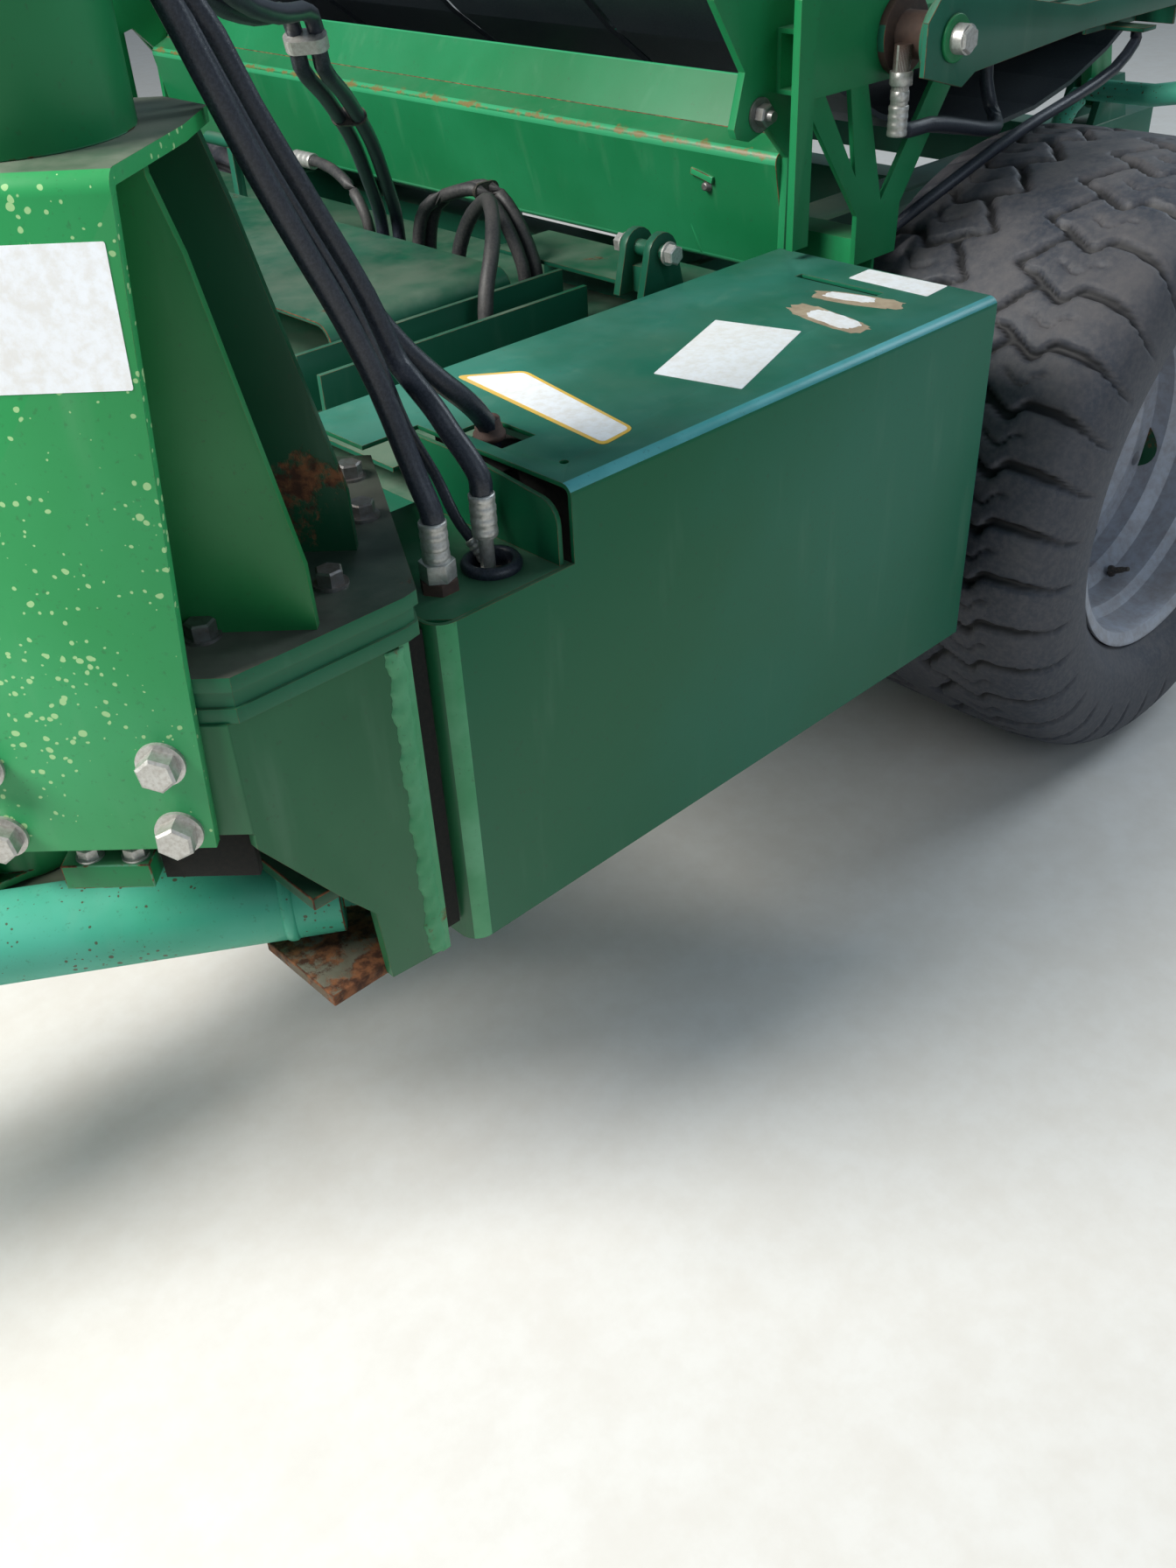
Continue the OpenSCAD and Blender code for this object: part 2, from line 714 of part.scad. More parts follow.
// route up the mast, round the bend and along the boom; u and n are the offsets from its middle line
function mast_route(u, n) = mast_up(u, n, [mast_z0, 1750, 2100]);
function mast_up(u, n, levels) = concat(
    [for (z = levels) mast_point(u, n, z)],
    [for (a = [0:15:90]) mast_point(mast_bend_r - (mast_bend_r - u) * cos(a), n,
        bend_z + (mast_bend_r - u) * sin(a))],
    [mast_point(1200, n, boom_z - u), mast_point(boom_reach - 175, n, boom_z - u)]);

// places of the hoses round the mast
hose_seat = mast_d / 2 + 12 + hose_gap;
hose_a_u = hose_seat * cos(55.4);
hose_a_n = -hose_seat * sin(55.4);
hose_b_u = hose_seat * cos(19.7);
hose_b_n = -hose_seat * sin(19.7);
hose_c_u = hose_seat * cos(6.3);
hose_c_n = -hose_seat * sin(6.3);
thin_seat = mast_d / 2 + 6 + hose_gap;
thin_u = thin_seat * cos(38);
thin_n = -thin_seat * sin(38);
pair_seat = mast_d / 2 + 10 + hose_gap;

hose_a_low = [[1451, 1195, 907], [1451, 1195, 925], [1454, 1178, 965], [1466, 1158, 1044], [1491, 1154, 1114],
    [1524, 1154, 1186], [1554, 1155, 1252], [1583, 1155, 1324], [1603, 1150, 1381]];
hose_b_low = [[1388, 1197, 923], [1388, 1196, 940], [1391, 1182, 961], [1395, 1166, 980], [1400, 1150, 1003],
    [1405, 1125, 1027], [1410, 1108, 1048], [1430, 1100, 1112], [1476, 1098, 1208], [1514, 1094, 1289],
    [1549, 1088, 1371]];
hose_c_low = [[1282, 1086, 890], [1283, 1087, 925], [1298, 1093, 950], [1320, 1096, 975], [1345, 1094, 1000],
    [1374, 1084, 1035], [1402, 1074, 1078], [1430, 1066, 1130], [1470, 1058, 1210], [1508, 1053, 1290],
    [1545, 1048, 1372]];
hose_thin_low = [[1380, 1184, 790], [1380, 1184, 842], [1386, 1170, 862], [1390, 1152, 884], [1392, 1128, 924],
    [1412, 1116, 980], [1438, 1124, 1050], [1464, 1127, 1120], [1498, 1128, 1190], [1530, 1128, 1256],
    [1560, 1127, 1326], [1584, 1122, 1383]];

module hose_mast_a() {
    color(black)
        hose(concat(smooth(concat(hose_a_low, [mast_point(hose_a_u, hose_a_n, mast_z0)]), 3),
            mast_route(hose_a_u, hose_a_n)), 12);
}

module hose_mast_b() {
    color(black)
        hose(concat(smooth(concat(hose_b_low, [mast_point(hose_b_u, hose_b_n, mast_z0)]), 3),
            mast_route(hose_b_u, hose_b_n)), 12);
}

// a hose into the cover's slot, a thin one through the grommet, and the grommet
module hose_mast_c() {
    color(black) {
        hose(concat(smooth(concat(hose_c_low, [mast_point(hose_c_u, hose_c_n, mast_z0)]), 3),
            mast_route(hose_c_u, hose_c_n)), 12);
        hose(concat(smooth(concat(hose_thin_low, [mast_point(thin_u, thin_n, mast_z0)]), 3),
            mast_route(thin_u, thin_n)), 6);
        translate([grommet_p[0], grommet_p[1], nose_top_z])
            rotate_extrude($fn = 48)
                polygon([[grommet_r, -10], [grommet_r + 7.5, -10], [grommet_r + 7.5, 0], [grommet_r + 10, 0],
                    [grommet_r + 11, 5], [grommet_r + 8, 10], [grommet_r + 3, 11], [grommet_r, 8]]);
    }
}

// the pair, from the deck up: it ends behind the deck cover's rear edge
pair_x = cover_edge_x - 10 - hose_gap;
pair_route = [[pair_x, 320, 827], [pair_x, 321, 880], [pair_x + 4, 325, 946], [pair_x + 66, 394, 1019],
    [pair_x + 128, 461, 1087], [1045, 532, 1141], [1109, 599, 1185], [1193, 687, 1236], [1212, 706, 1293],
    [1337, 837, 1317], [1445, 935, 1352], [1530, 985, 1420], [1600, 1020, 1540]];

module hose_deck_pair() {
    color(black)
        // columns: offset in X and Y on the deck, angle round the mast
        for (d = [[0, 0, 12], [-19, 16, 26.5]])
            let (u = pair_seat * cos(d[2]), n = pair_seat * sin(d[2]))
                hose(concat(smooth(concat([for (p = pair_route) p + [d[0], d[1], 0]], [mast_point(u, n, 1640)]), 3),
                    mast_up(u, n, [1640, 2100])), 10);
}

loop_rear = [[845, 385, 826.6], [845, 385, 900], [838, 405, 962], [822, 462, 990], [813, 510, 996],
    [806, 550, 962], [800, 580, 900], [800, 584, 855],
    [800, 584, 826.6]];
loop_cross = [[792, 30.3, 980], [792, 44, 980], [792, 58, 980], [802, 100, 984], [826, 180, 984],
    [842, 245, 966], [847, 278, 930], [845, 283, 880], [845, 283, 850], [845, 283, 826.6]];
loop_front = [[846, 500, 826.6], [846, 502, 905], [842, 530, 965], [840, 570, 1000], [870, 620, 1000],
    [910, 665, 970], [950, 690, 915], [960, 695, 855], [960, 695, 826.6]];

module hose_loops() {
    color(black) {
        for (d = [14, 38])
            hose([for (p = smooth_whole(loop_rear, 3)) p + [-d, 0, 0]], 10);
        hose(smooth_whole(loop_front, 3), 11);
        hose(smooth_whole(loop_cross, 3), 9);
    }
}

// hoses of the film cutters, on both sides of the table
cutter_rise = [[426, 985, 1098.7], [426, 985, 1092], [426, 985, 1084], [404, 984, 1066], [345, 982, 1064], [280, 980, 1052],
    [205, 976, 1034], [150, 968, 1024], [116, 950, 1026], [101, 928, 1044], [100, 914, 1080],
    [100, 912, 1115], [100, 912, 1129.7]];
cutter_fall = [[-170, 1010, 1119.7], [-170, 1010, 1112], [-170, 1010, 1102], [-120, 1008, 1070], [-20, 1004, 1046], [80, 1000, 1028],
    [175, 990, 1002], [260, 970, 965], [325, 932, 918], [356, 904, 885], [372, 900, 877],
    [384, 900, 877], [394.7, 900, 877]];

module hose_table() {
    color(black)
        both_sides() {
            hose(smooth_whole(cutter_rise, 2), 11);
            hose(smooth_whole(cutter_fall, 2), 9);
        }
}

// Drawbar

module drawbar_frame() {
    translate([hinge_x, hinge_y, drawbar_z])
        rotate([0, 0, drawbar_a])
            children();
}

eye_rel = swing_eye - [hinge_x, hinge_y, drawbar_z];
eye_u = eye_rel[0] * cos(drawbar_a) + eye_rel[1] * sin(drawbar_a);
eye_v = -eye_rel[0] * sin(drawbar_a) + eye_rel[1] * cos(drawbar_a);

module drawbar() {
    color(green)
        drawbar_frame()
            difference() {
                union() {
                    translate([0, 0, -88])
                        cylinder(r = 70, h = 186, $fn = 64);
                    translate([60, 0, -75])
                        tube_x(drawbar_l - 200, 150, 150, 10);
                    // plates at the hinge
                    for (z = [-85, 75])
                        translate([0, 0, z])
                            linear_extrude(10)
                                polygon([[0, -69], [420, -60], [420, 60], [0, 69]]);
                    // fork of the swing cylinder's eye
                    for (z = [drawbar_eye_z - 50, drawbar_eye_z + 38])
                        translate([0, 0, z])
                            linear_extrude(12)
                                polygon([[eye_u - 70, 74], [eye_u + 70, 74], [eye_u + 34, eye_v + 20],
                                    [eye_u + 20, eye_v + 34], [eye_u - 20, eye_v + 34], [eye_u - 34, eye_v + 20]]);
                    translate([drawbar_l - 148, 0, 0])
                        rotate([0, 90, 0])
                            translate([-90, -90, 0])
                                cube([180, 180, 16]);
                }
                translate([0, 0, -90])
                    cylinder(r = 30.05, h = 190, $fn = 64);
            }
}
drawbar_eye_z = swing_eye[2] - drawbar_z;

module towing_eye() {
    color(steel)
        drawbar_frame()
            difference() {
                union() {
                    translate([drawbar_l - 132, -80, -80])
                        cube([16, 160, 160]);
                    translate([drawbar_l - 118, -30, -21])
                        cube([70, 60, 42]);
                    translate([drawbar_l, 0, -21])
                        cylinder(r = 60, h = 42, $fn = 64);
                }
                translate([drawbar_l, 0, -22])
                    cylinder(r = 25.5, h = 44, $fn = 64);
            }
}

jack_u = 1630;
jack_v = 145;

module jack_tube() {
    color(green)
        drawbar_frame() {
            difference() {
                translate([jack_u, jack_v, 372 - drawbar_z])
                    cylinder(r = 38, h = 598, $fn = 64);
                translate([jack_u, jack_v, 371 - drawbar_z])
                    cylinder(r = 30.3, h = 590, $fn = 64);
            }
            for (z = [-60, 50])
                translate([0, 0, z])
                    linear_extrude(10)
                        difference() {
                            polygon([[jack_u - 70, 75], [jack_u + 70, 75], [jack_u + 34, jack_v + 15],
                                [jack_u - 34, jack_v + 15]]);
                            translate([jack_u, jack_v])
                                circle(r = 37, $fn = 64);
                        }
            // crank at the top
            translate([jack_u, jack_v + 34, 940 - drawbar_z])
                rotate([-90, 0, 0])
                    cylinder(r = 12, h = 96, $fn = 32);
            translate([jack_u - 12, jack_v + 118, 940 - drawbar_z - 12])
                cube([150, 12, 24]);
            translate([jack_u + 126, jack_v + 129, 940 - drawbar_z])
                rotate([-90, 0, 0])
                    cylinder(r = 11, h = 90, $fn = 32);
        }
}

module jack_leg() {
    color(steel)
        drawbar_frame()
            translate([jack_u, jack_v, -drawbar_z]) {
                cylinder(r = 30, h = 600, $fn = 64);
                cylinder(r = 95, h = 12, $fn = 64);
            }
}

module swing_frame(p) {
    translate(p)
        rotate([0, 0, atan2(swing_eye[1] - swing_base[1], swing_eye[0] - swing_base[0])])
            children();
}

module swing_barrel() {
    color(green)
        swing_frame(swing_base)
            barrel(500, 50, 25, 34, swing_eye_h, 20);
}

module swing_rod() {
    color(silver)
        swing_frame(swing_eye)
            ram(460, 25, 30, 60, 18, 72);
}

// Table

table_y = 884;
beam_w = 56;
roller_mid = (roller_front_x + roller_rear_x) / 2;
roller_half = (roller_front_x - roller_rear_x) / 2;
roller_r = roller_d / 2;
// middle and radius of the arc that the belts hang in
low_mid = belt_low_z + roller_r + 0.9 + belt_t;
arc_z = (roller_half * roller_half + roller_z * roller_z - low_mid * low_mid) / (2 * (roller_z - low_mid));
arc_r = arc_z - low_mid;
arc_a = atan2(roller_z - arc_z, roller_half);

module both_sides() {
    children();
    mirror([0, 1, 0])
        children();
}

module table_frame() {
    color(green) {
        both_sides() {
            translate([-875, table_y + beam_w / 2, 1130])
                tube_x(1445, beam_w, 80, 6);
            // inner end plate with a hooked foot
            plate_xz([[515, 900], [542, 905], [539, 1042], [585, 1088], [625, 1078], [650, 1086], [655, 1098],
                [635, 1165], [698, 1257], [700, 1310], [670, 1335], [375, 1335], [350, 1240], [350, 1130],
                [480, 1130], [512, 1060]], table_y - 12, 12);
            // outer end plate
            plate_xz([[572, 940], [606, 940], [606, 1250], [560, 1335], [375, 1335], [350, 1250], [350, 1130],
                [572, 1130]], table_y + beam_w, 12);
            // braces that meet at the lower cross tube
            plate_xz([[545, 1132], [590, 1132], [456, 955], [428, 955]], table_y + beam_w, 8);
            plate_xz([[452, 1140], [490, 1140], [456, 965], [455, 885], [400, 885], [400, 965]],
                table_y + beam_w, 8);
            plate_xz([[215, 1140], [270, 1140], [402, 965], [402, 885], [356, 885], [352, 955]],
                table_y + beam_w, 8);
            // rear roller plates
            plate_xz([[-800, 1130], [-800, 1200], [-775, 1335], [-685, 1335], [-640, 1200], [-640, 1130]],
                table_y - 12, 12);
            // lugs of the tipping hinge
            difference() {
                plate_xz([[-875, 1130], [-940, 890], [-928, 852], [-900, 840], [-872, 852], [-860, 880],
                    [-805, 1130]], rail_y - 12, 24);
                translate([tip_x, rail_y, tip_z])
                    rod_y(tip_pin_r + 0.05, 40);
            }
        }
        translate([-840, 0, 1130])
            tube_y(2 * table_y, 70, 70, 6);
        translate([425, 0, 862])
            tube_y(2 * (table_y + beam_w), 60, 60, 6);
        // fork of the tipping cylinder's eye
        for (y = [-54, 42])
            plate_xz([[400, 922], [400, 975], [330, 985], [270, 975], [250, 940], [262, 912], [300, 900],
                [400, 880]], y, 12);
    }
}

module table_trough() {
    color(green)
        plate_xz([[462, 1122], [470, 1128], [509, 1062], [548, 1046], [552, 1036], [520, 876], [512, 870],
            [468, 870], [468, 878], [508, 878], [538, 1034], [500, 1052]], 12 - table_y, 2 * table_y - 24);
}

// Film cutter beside the table: pivot, slotted arm and jaws
cutter_z = 1185;
cutter_y = table_y + beam_w + 12;

module film_cutter() {
    color(steel) {
        translate([390, cutter_y + 40, cutter_z])
            rod_y(30, 80);
        translate([390, cutter_y + 96, cutter_z])
            rod_y(19, 32);
        // elbow below the pivot
        translate([426, cutter_y + 33, 1099])
            cylinder(r = 12, h = 80, $fn = 32);
    }
    color(green) {
        for (y = [0, 68])
            translate([390, cutter_y + y + 6, cutter_z])
                rod_y(52, 12);
        // side plate of the arm and its slotted top
        plate_xz([[452, 1145], [452, 1210], [425, 1238], [340, 1232], [40, 1180], [-250, 1180], [-250, 1150],
            [40, 1150], [330, 1135], [360, 1120]], cutter_y + 80, 8);
        difference() {
            box_between([-250, cutter_y + 8, 1180], [150, cutter_y + 88, 1186]);
            box_between([-190, cutter_y + 34, 1170], [90, cutter_y + 52, 1190]);
        }
        box_between([-250, cutter_y + 8, 1120], [-90, cutter_y + 14, 1180]);
        box_between([-190, cutter_y + 14, 1120], [-150, cutter_y + 80, 1126]);
        box_between([-250, cutter_y + 14, 1120], [-244, cutter_y + 80, 1180]);
        // jaws
        for (y = [12, 66])
            plate_xz([[-250, 1186], [-170, 1186], [-190, 1280], [-240, 1300], [-262, 1290]], cutter_y + y, 10);
    }
}

module roller(x) {
    color(steel)
        translate([x, 0, roller_z]) {
            rod_y(roller_r, 1600, 96);
            rod_y(25, 2 * (table_y - 12));
        }
}

function loop_points(r, o) = concat(
    arc([roller_mid, arc_z], arc_r + o, 180 - arc_a - 360, arc_a, 12),
    arc([roller_front_x, roller_z], r, arc_a + 15, arc_a + 165, 10),
    arc([roller_mid, arc_z], arc_r - o, arc_a, -180 - arc_a, 12),
    arc([roller_rear_x, roller_z], r, -arc_a + 15, -arc_a + 165, 10));

module table_belts() {
    inner = roller_r + 0.9;
    color(black)
        for (k = [-1.5:1:1.5])
            translate([0, k * belt_pitch + belt_w / 2, 0])
                rotate([90, 0, 0])
                    linear_extrude(belt_w)
                        difference() {
                            polygon(loop_points(inner + belt_t, inner + belt_t));
                            polygon(loop_points(inner, inner));
                        }
}

tilt_len = norm(tilt_eye - tilt_base);
tilt_a = atan2(tilt_eye[2] - tilt_base[2], tilt_eye[0] - tilt_base[0]);

module tilt_frame(p) {
    translate(p)
        rotate([0, -tilt_a, 0])
            rotate([90, 0, 0])
                children();
}

module tilt_barrel() {
    color(green)
        tilt_frame(tilt_base)
            barrel(740, 45, 25, 36, 60, 20);
}

module tilt_rod() {
    color(silver)
        tilt_frame(tilt_eye)
            ram(690, 25, 34, 60, 20, 78);
}

// Loading fork, stored upright

module loader_fork() {
    px = loader_pivot[0];
    pz = loader_pivot[2];
    color(green) {
        for (s = [-1, 1]) {
            // arm, from the pivot tube to the tine: outline in X and Z
            plate_xz([[px - 62, pz - 10], [px - 50, pz - 45], [px, pz - 62], [px + 60, pz - 30], [px + 480, pz + 740],
                [px + 480, pz + 860], [px + 360, pz + 860], [px + 360, pz + 790]], s * arm_y - 30, 60);
            // tine
            translate([px + 440, s * arm_y, pz + 860])
                cylinder(r = 36, h = 1060, $fn = 48);
            translate([px + 440, s * arm_y, pz + 1920])
                cylinder(r1 = 36, r2 = 12, h = 80, $fn = 48);
        }
        translate([px + 400, 0, pz + 820])
            rod_y(50, 2 * arm_y - 60, 64);
        // bale stop
        translate([px + 262, 0, pz + 470])
            rod_y(38, 2 * arm_y - 60, 64);
        // pivot tube with its shaft ends and the horn of the loading cylinder
        translate([px, 0, pz]) {
            rod_y(60, 2 * (rail_in - 6), 64);
            rod_y(loader_pin_r, 2 * (rail_out + 12));
        }
        for (y = [-54, 42])
            plate_xz([[px - 55, pz + 10], [px + 55, pz - 10], [ram_eye[0] + 38, ram_eye[2] + 10],
                [ram_eye[0] + 34, ram_eye[2] - 26], [ram_eye[0], ram_eye[2] - 38],
                [ram_eye[0] - 34, ram_eye[2] - 20]], y, 12);
    }
}

ram_a = atan2(ram_eye[2] - ram_base[2], ram_eye[0] - ram_base[0]);

module ram_frame(p) {
    translate(p)
        rotate([0, -ram_a, 0])
            rotate([90, 0, 0])
                children();
}

module loader_barrel() {
    color(green)
        ram_frame(ram_base)
            barrel(560, 45, 25, 36, 60, 20);
}

module loader_rod() {
    color(silver)
        ram_frame(ram_eye)
            ram(540, 25, 32, 60, 20, 78);
}

// Satellite

beam_z = boom_z - 390;
shaft_low_z = beam_z + 80;
plate_t = 12;

module rotor_beam() {
    color(green)
        translate([rotor_x, 0, 0])
            difference() {
                union() {
                    translate([0, 0, beam_z])
                        tube_y(2 * drop_r + 80, 140, 120, 8);
                    translate([0, 0, beam_z - 20])
                        cylinder(r = 110, h = 250, $fn = 64);
                    for (s = [-1, 1])
                        translate([0, s * drop_r, dispenser_low_z])
                            tube_z(beam_z - dispenser_low_z, 80, 80, 6);
                }
                translate([0, 0, shaft_low_z - 10])
                    cylinder(r = 50.05, h = 170, $fn = 64);
            }
}

// columns: distance outwards, distance along the turn, radius
stretch_rows = [[-30, 110, 38], [-30, 196, 38], [60, 160, 25]];
reel = [60, 330];

module dispenser_frame(side) {
    translate([rotor_x, side * drop_r, dispenser_low_z])
        rotate([0, 0, side > 0 ? 0 : 180])
            children();
}

module dispenser() {
    top = dispenser_h - plate_t;
    color(green)
        for (z = [0, top])
            translate([0, 0, z])
                linear_extrude(plate_t)
                    polygon([[40, -40], [60, -80], [240, -80], [300, -30], [400, 20], [400, 100], [300, 130],
                        [60, 130], [40, 100]]);
    // upright behind the rollers and the film reel's spindle
    color(green)
        box_between([40, 100, plate_t], [60, 130, top]);
    color(steel) {
        translate([reel[1], reel[0], plate_t])
            cylinder(r = 26, h = top - plate_t, $fn = 48);
        translate([reel[1], reel[0], plate_t])
            cylinder(r = 60, h = 14, $fn = 48);
    }
}

module stretch_rollers() {
    color(steel)
        for (row = stretch_rows)
            translate([row[1], row[0], plate_t])
                cylinder(r = row[2], h = dispenser_h - 2 * plate_t, $fn = 48);
}

chassis_frame();
front_corner();
deck_plates();
deck_cover();
left_cover();
right_cover();
hose_bulkhead();
mast_pedestal();
mast();
rotor_drive();
axle();
rear_guards();
light_bar();
hose_mast_a();
hose_mast_b();
hose_deck_pair();
hose_loops();
at_wheel(1) rim();  // rim_left
at_wheel(-1) rim();  // rim_right
at_wheel(1) tyre();  // tyre_left
at_wheel(-1) tyre();  // tyre_right
drawbar();
towing_eye();
jack_tube();
jack_leg();
swing_barrel();
swing_rod();
table_frame();
table_trough();
roller(roller_front_x);  // front_roller
roller(roller_rear_x);  // rear_roller
table_belts();
tilt_barrel();
tilt_rod();
loader_fork();
loader_barrel();
loader_rod();
rotor_beam();
dispenser_frame(1) dispenser();  // dispenser_left
dispenser_frame(-1) dispenser();  // dispenser_right
dispenser_frame(1) stretch_rollers();  // stretch_rollers_left
dispenser_frame(-1) stretch_rollers();  // stretch_rollers_right
swing_ears();
hose_mast_c();
hose_table();
film_cutter();  // film_cutter_left
mirror([0, 1, 0]) film_cutter();  // film_cutter_right
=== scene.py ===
# %% [markdown]
# # A trailed round bale wrapper
# The machine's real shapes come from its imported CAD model. This lesson adds what CAD leaves out:
# rounded edges, tyre tread, bolts, hose fittings, blank labels and finishes with dust, rust and wear.
# Everything is in metres, and MM turns millimetres into them. +X points forward, +Y to the machine's
# left and +Z up, with the origin on the ground under the middle of the axle.

# %% Load the frame
import json
import math
import random

import bmesh
import bpy
from mathutils import Matrix, Vector


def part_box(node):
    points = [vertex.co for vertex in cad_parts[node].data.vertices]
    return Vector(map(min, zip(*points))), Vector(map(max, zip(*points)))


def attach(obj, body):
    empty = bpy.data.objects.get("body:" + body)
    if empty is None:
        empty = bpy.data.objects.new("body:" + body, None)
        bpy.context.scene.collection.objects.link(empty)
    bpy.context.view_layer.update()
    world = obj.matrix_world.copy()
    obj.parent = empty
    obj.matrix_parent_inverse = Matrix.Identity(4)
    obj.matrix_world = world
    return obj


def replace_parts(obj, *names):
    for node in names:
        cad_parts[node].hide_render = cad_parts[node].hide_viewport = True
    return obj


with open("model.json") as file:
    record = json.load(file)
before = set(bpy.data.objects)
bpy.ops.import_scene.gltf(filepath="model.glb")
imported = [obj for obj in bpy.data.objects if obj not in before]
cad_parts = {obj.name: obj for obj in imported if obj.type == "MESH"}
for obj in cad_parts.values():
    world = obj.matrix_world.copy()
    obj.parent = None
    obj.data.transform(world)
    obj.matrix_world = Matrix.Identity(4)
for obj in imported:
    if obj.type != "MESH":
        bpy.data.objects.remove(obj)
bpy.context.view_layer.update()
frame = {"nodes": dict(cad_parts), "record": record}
nodes = frame["nodes"]
body_of_node = {n: b for b, members in frame["record"]["behaviour"]["bodies"].items() for n in members}
MM = 0.001

# %% [markdown]
# ## The camera
# The camera stands at the machine's left front corner and looks down at the side cover. Its place
# and turn were worked out from the wheel's circle and the cover's corners, so here they are plain
# numbers: where it stands, which way it looks and which way its right side points.

# %% Camera
PHOTO_HEIGHT = 1792
FOCAL_PIXELS = 1604
SENSOR_HEIGHT = 36.0
camera_place = Vector((2.1971, 2.2324, 1.5147))
look_ahead = Vector((-0.53926, -0.59975, -0.59118)).normalized()
look_right = Vector((-0.72041, 0.69209, -0.04499)).normalized()
look_up = look_right.cross(look_ahead)


def into_scene(name, data):
    made = bpy.data.objects.new(name, data)
    bpy.context.scene.collection.objects.link(made)
    return made


camera_data = bpy.data.cameras.new("camera")
camera_data.sensor_fit = "VERTICAL"
camera_data.sensor_height = SENSOR_HEIGHT
camera_data.lens = FOCAL_PIXELS * SENSOR_HEIGHT / PHOTO_HEIGHT
camera = into_scene("camera", camera_data)
camera_turn = Matrix((look_right, look_up, -look_ahead)).transposed()
camera.matrix_world = Matrix.Translation(camera_place) @ camera_turn.to_4x4()
bpy.context.scene.camera = camera
bpy.context.scene.view_settings.view_transform = "Standard"
print("camera lens", round(camera_data.lens, 2), "mm")

# %% [markdown]
# ## Nodes by short calls
# Materials, the sky and the bolts are graphs of nodes. A few small helpers keep the graphs readable:
# wire fills a node's inputs, put makes a node and fills them, mix blends two colours, mask turns a
# stretch of values into a mask from 0 to 1, and times and plus do sums.

# %% Node helpers
def wire(tree, node, inputs):
    for name, value in inputs.items():
        if isinstance(value, bpy.types.NodeSocket):
            tree.links.new(value, node.inputs[name])
        else:
            node.inputs[name].default_value = value


def put(tree, kind, inputs=None, **settings):
    made = tree.nodes.new(kind)
    for name, value in settings.items():
        setattr(made, name, value)
    wire(tree, made, inputs or {})
    return made


def mix(tree, factor, first, second):
    # these sockets are numbered, because the node has one set of them for each kind of value
    return put(tree, "ShaderNodeMix", {0: factor, 6: first, 7: second}, data_type="RGBA").outputs[2]


def mask(tree, value, low, high):
    return put(tree, "ShaderNodeMapRange", {"Value": value, "From Min": low, "From Max": high},
               interpolation_type="SMOOTHSTEP").outputs[0]


def calc(tree, way, first, second=0.0):
    return put(tree, "ShaderNodeMath", {0: first, 1: second}, operation=way).outputs[0]


def times(tree, first, second):
    return calc(tree, "MULTIPLY", first, second)


def plus(tree, first, second):
    return calc(tree, "ADD", first, second)


def noise(tree, place, scale, detail=4.0, rough=0.55):
    return put(tree, "ShaderNodeTexNoise",
               {"Vector": place, "Scale": scale, "Detail": detail, "Roughness": rough}).outputs["Fac"]


print("node helpers ready")

# %% [markdown]
# ## Light and floor
# The light is that of open shade. One big area lamp in front stands for the bright part of the sky, a
# weak one fills from the camera's side, a third lights the machine from behind, and the world gives an
# even low level. The floor is plain and pale.

# %% Lamps
machine_middle = Vector((0.9, 0.5, 0.9))
# columns: name, place, size, watts, colour
LAMPS = [
    ("sky_lamp", (5.4, -0.4, 4.9), 3.0, 700, (1.0, 0.98, 0.93)),
    ("fill_lamp", (1.0, 6.8, 3.6), 4.0, 55, (0.80, 0.90, 1.0)),
    ("back_lamp", (-5.5, 2.5, 5.0), 4.0, 260, (0.82, 0.92, 1.0)),
]
for name, place, size, watts, colour in LAMPS:
    data = bpy.data.lights.new(name, "AREA")
    data.shape = "DISK"
    data.size = size
    data.energy = watts
    data.color = colour
    aim = (machine_middle - Vector(place)).to_track_quat("-Z", "Y")
    into_scene(name, data).matrix_world = Matrix.Translation(place) @ aim.to_matrix().to_4x4()
print(len(LAMPS), "lamps are in place")

# %% Sky and floor
FLOOR_HALF = 30.0
world = bpy.data.worlds.new("world")
bpy.context.scene.world = world
world.use_nodes = True
sky = world.node_tree
sky.nodes.clear()
low_sky = put(sky, "ShaderNodeBackground", {"Color": (0.66, 0.84, 1.0, 1), "Strength": 0.22})
pale_sky = put(sky, "ShaderNodeBackground", {"Color": (0.90, 0.92, 0.94, 1), "Strength": 0.9})
ray = put(sky, "ShaderNodeLightPath")
choose = put(sky, "ShaderNodeMixShader", {
    0: ray.outputs["Is Camera Ray"], 1: low_sky.outputs[0], 2: pale_sky.outputs[0]})
put(sky, "ShaderNodeOutputWorld", {"Surface": choose.outputs[0]})

floor_mesh = bpy.data.meshes.new("floor")
floor_mesh.from_pydata([(x * FLOOR_HALF, y * FLOOR_HALF, 0) for x, y in ((-1, -1), (1, -1), (1, 1), (-1, 1))],
                       [], [(0, 1, 2, 3)])
floor = into_scene("floor", floor_mesh)
print("sky and floor are in place")

# %% [markdown]
# ## Old paint
# The machine's green has faded in clouds, is dusty where it faces up, and has rusted where edges are
# knocked and where water stands. All of that is one group, because every painted piece has it, each
# with its own colours and amounts. Rounded edges carry an attribute named edge, so chips follow them,
# and rounded folds carry one named fold, where a paler colour is painted in as a painted highlight
# along the fold, and on the trough also as worn paint.

# %% Weathered paint group
PALE_STREAK, DARK_SPECKLE = (0.40, 0.55, 0.42, 1), (0.035, 0.05, 0.03, 1)
SETTLED_DUST, WORN_PAINT = (0.24, 0.25, 0.20, 1), (0.14, 0.40, 0.26, 1)
DARK_RUST, LIGHT_RUST = (0.055, 0.022, 0.012, 1), (0.22, 0.085, 0.035, 1)


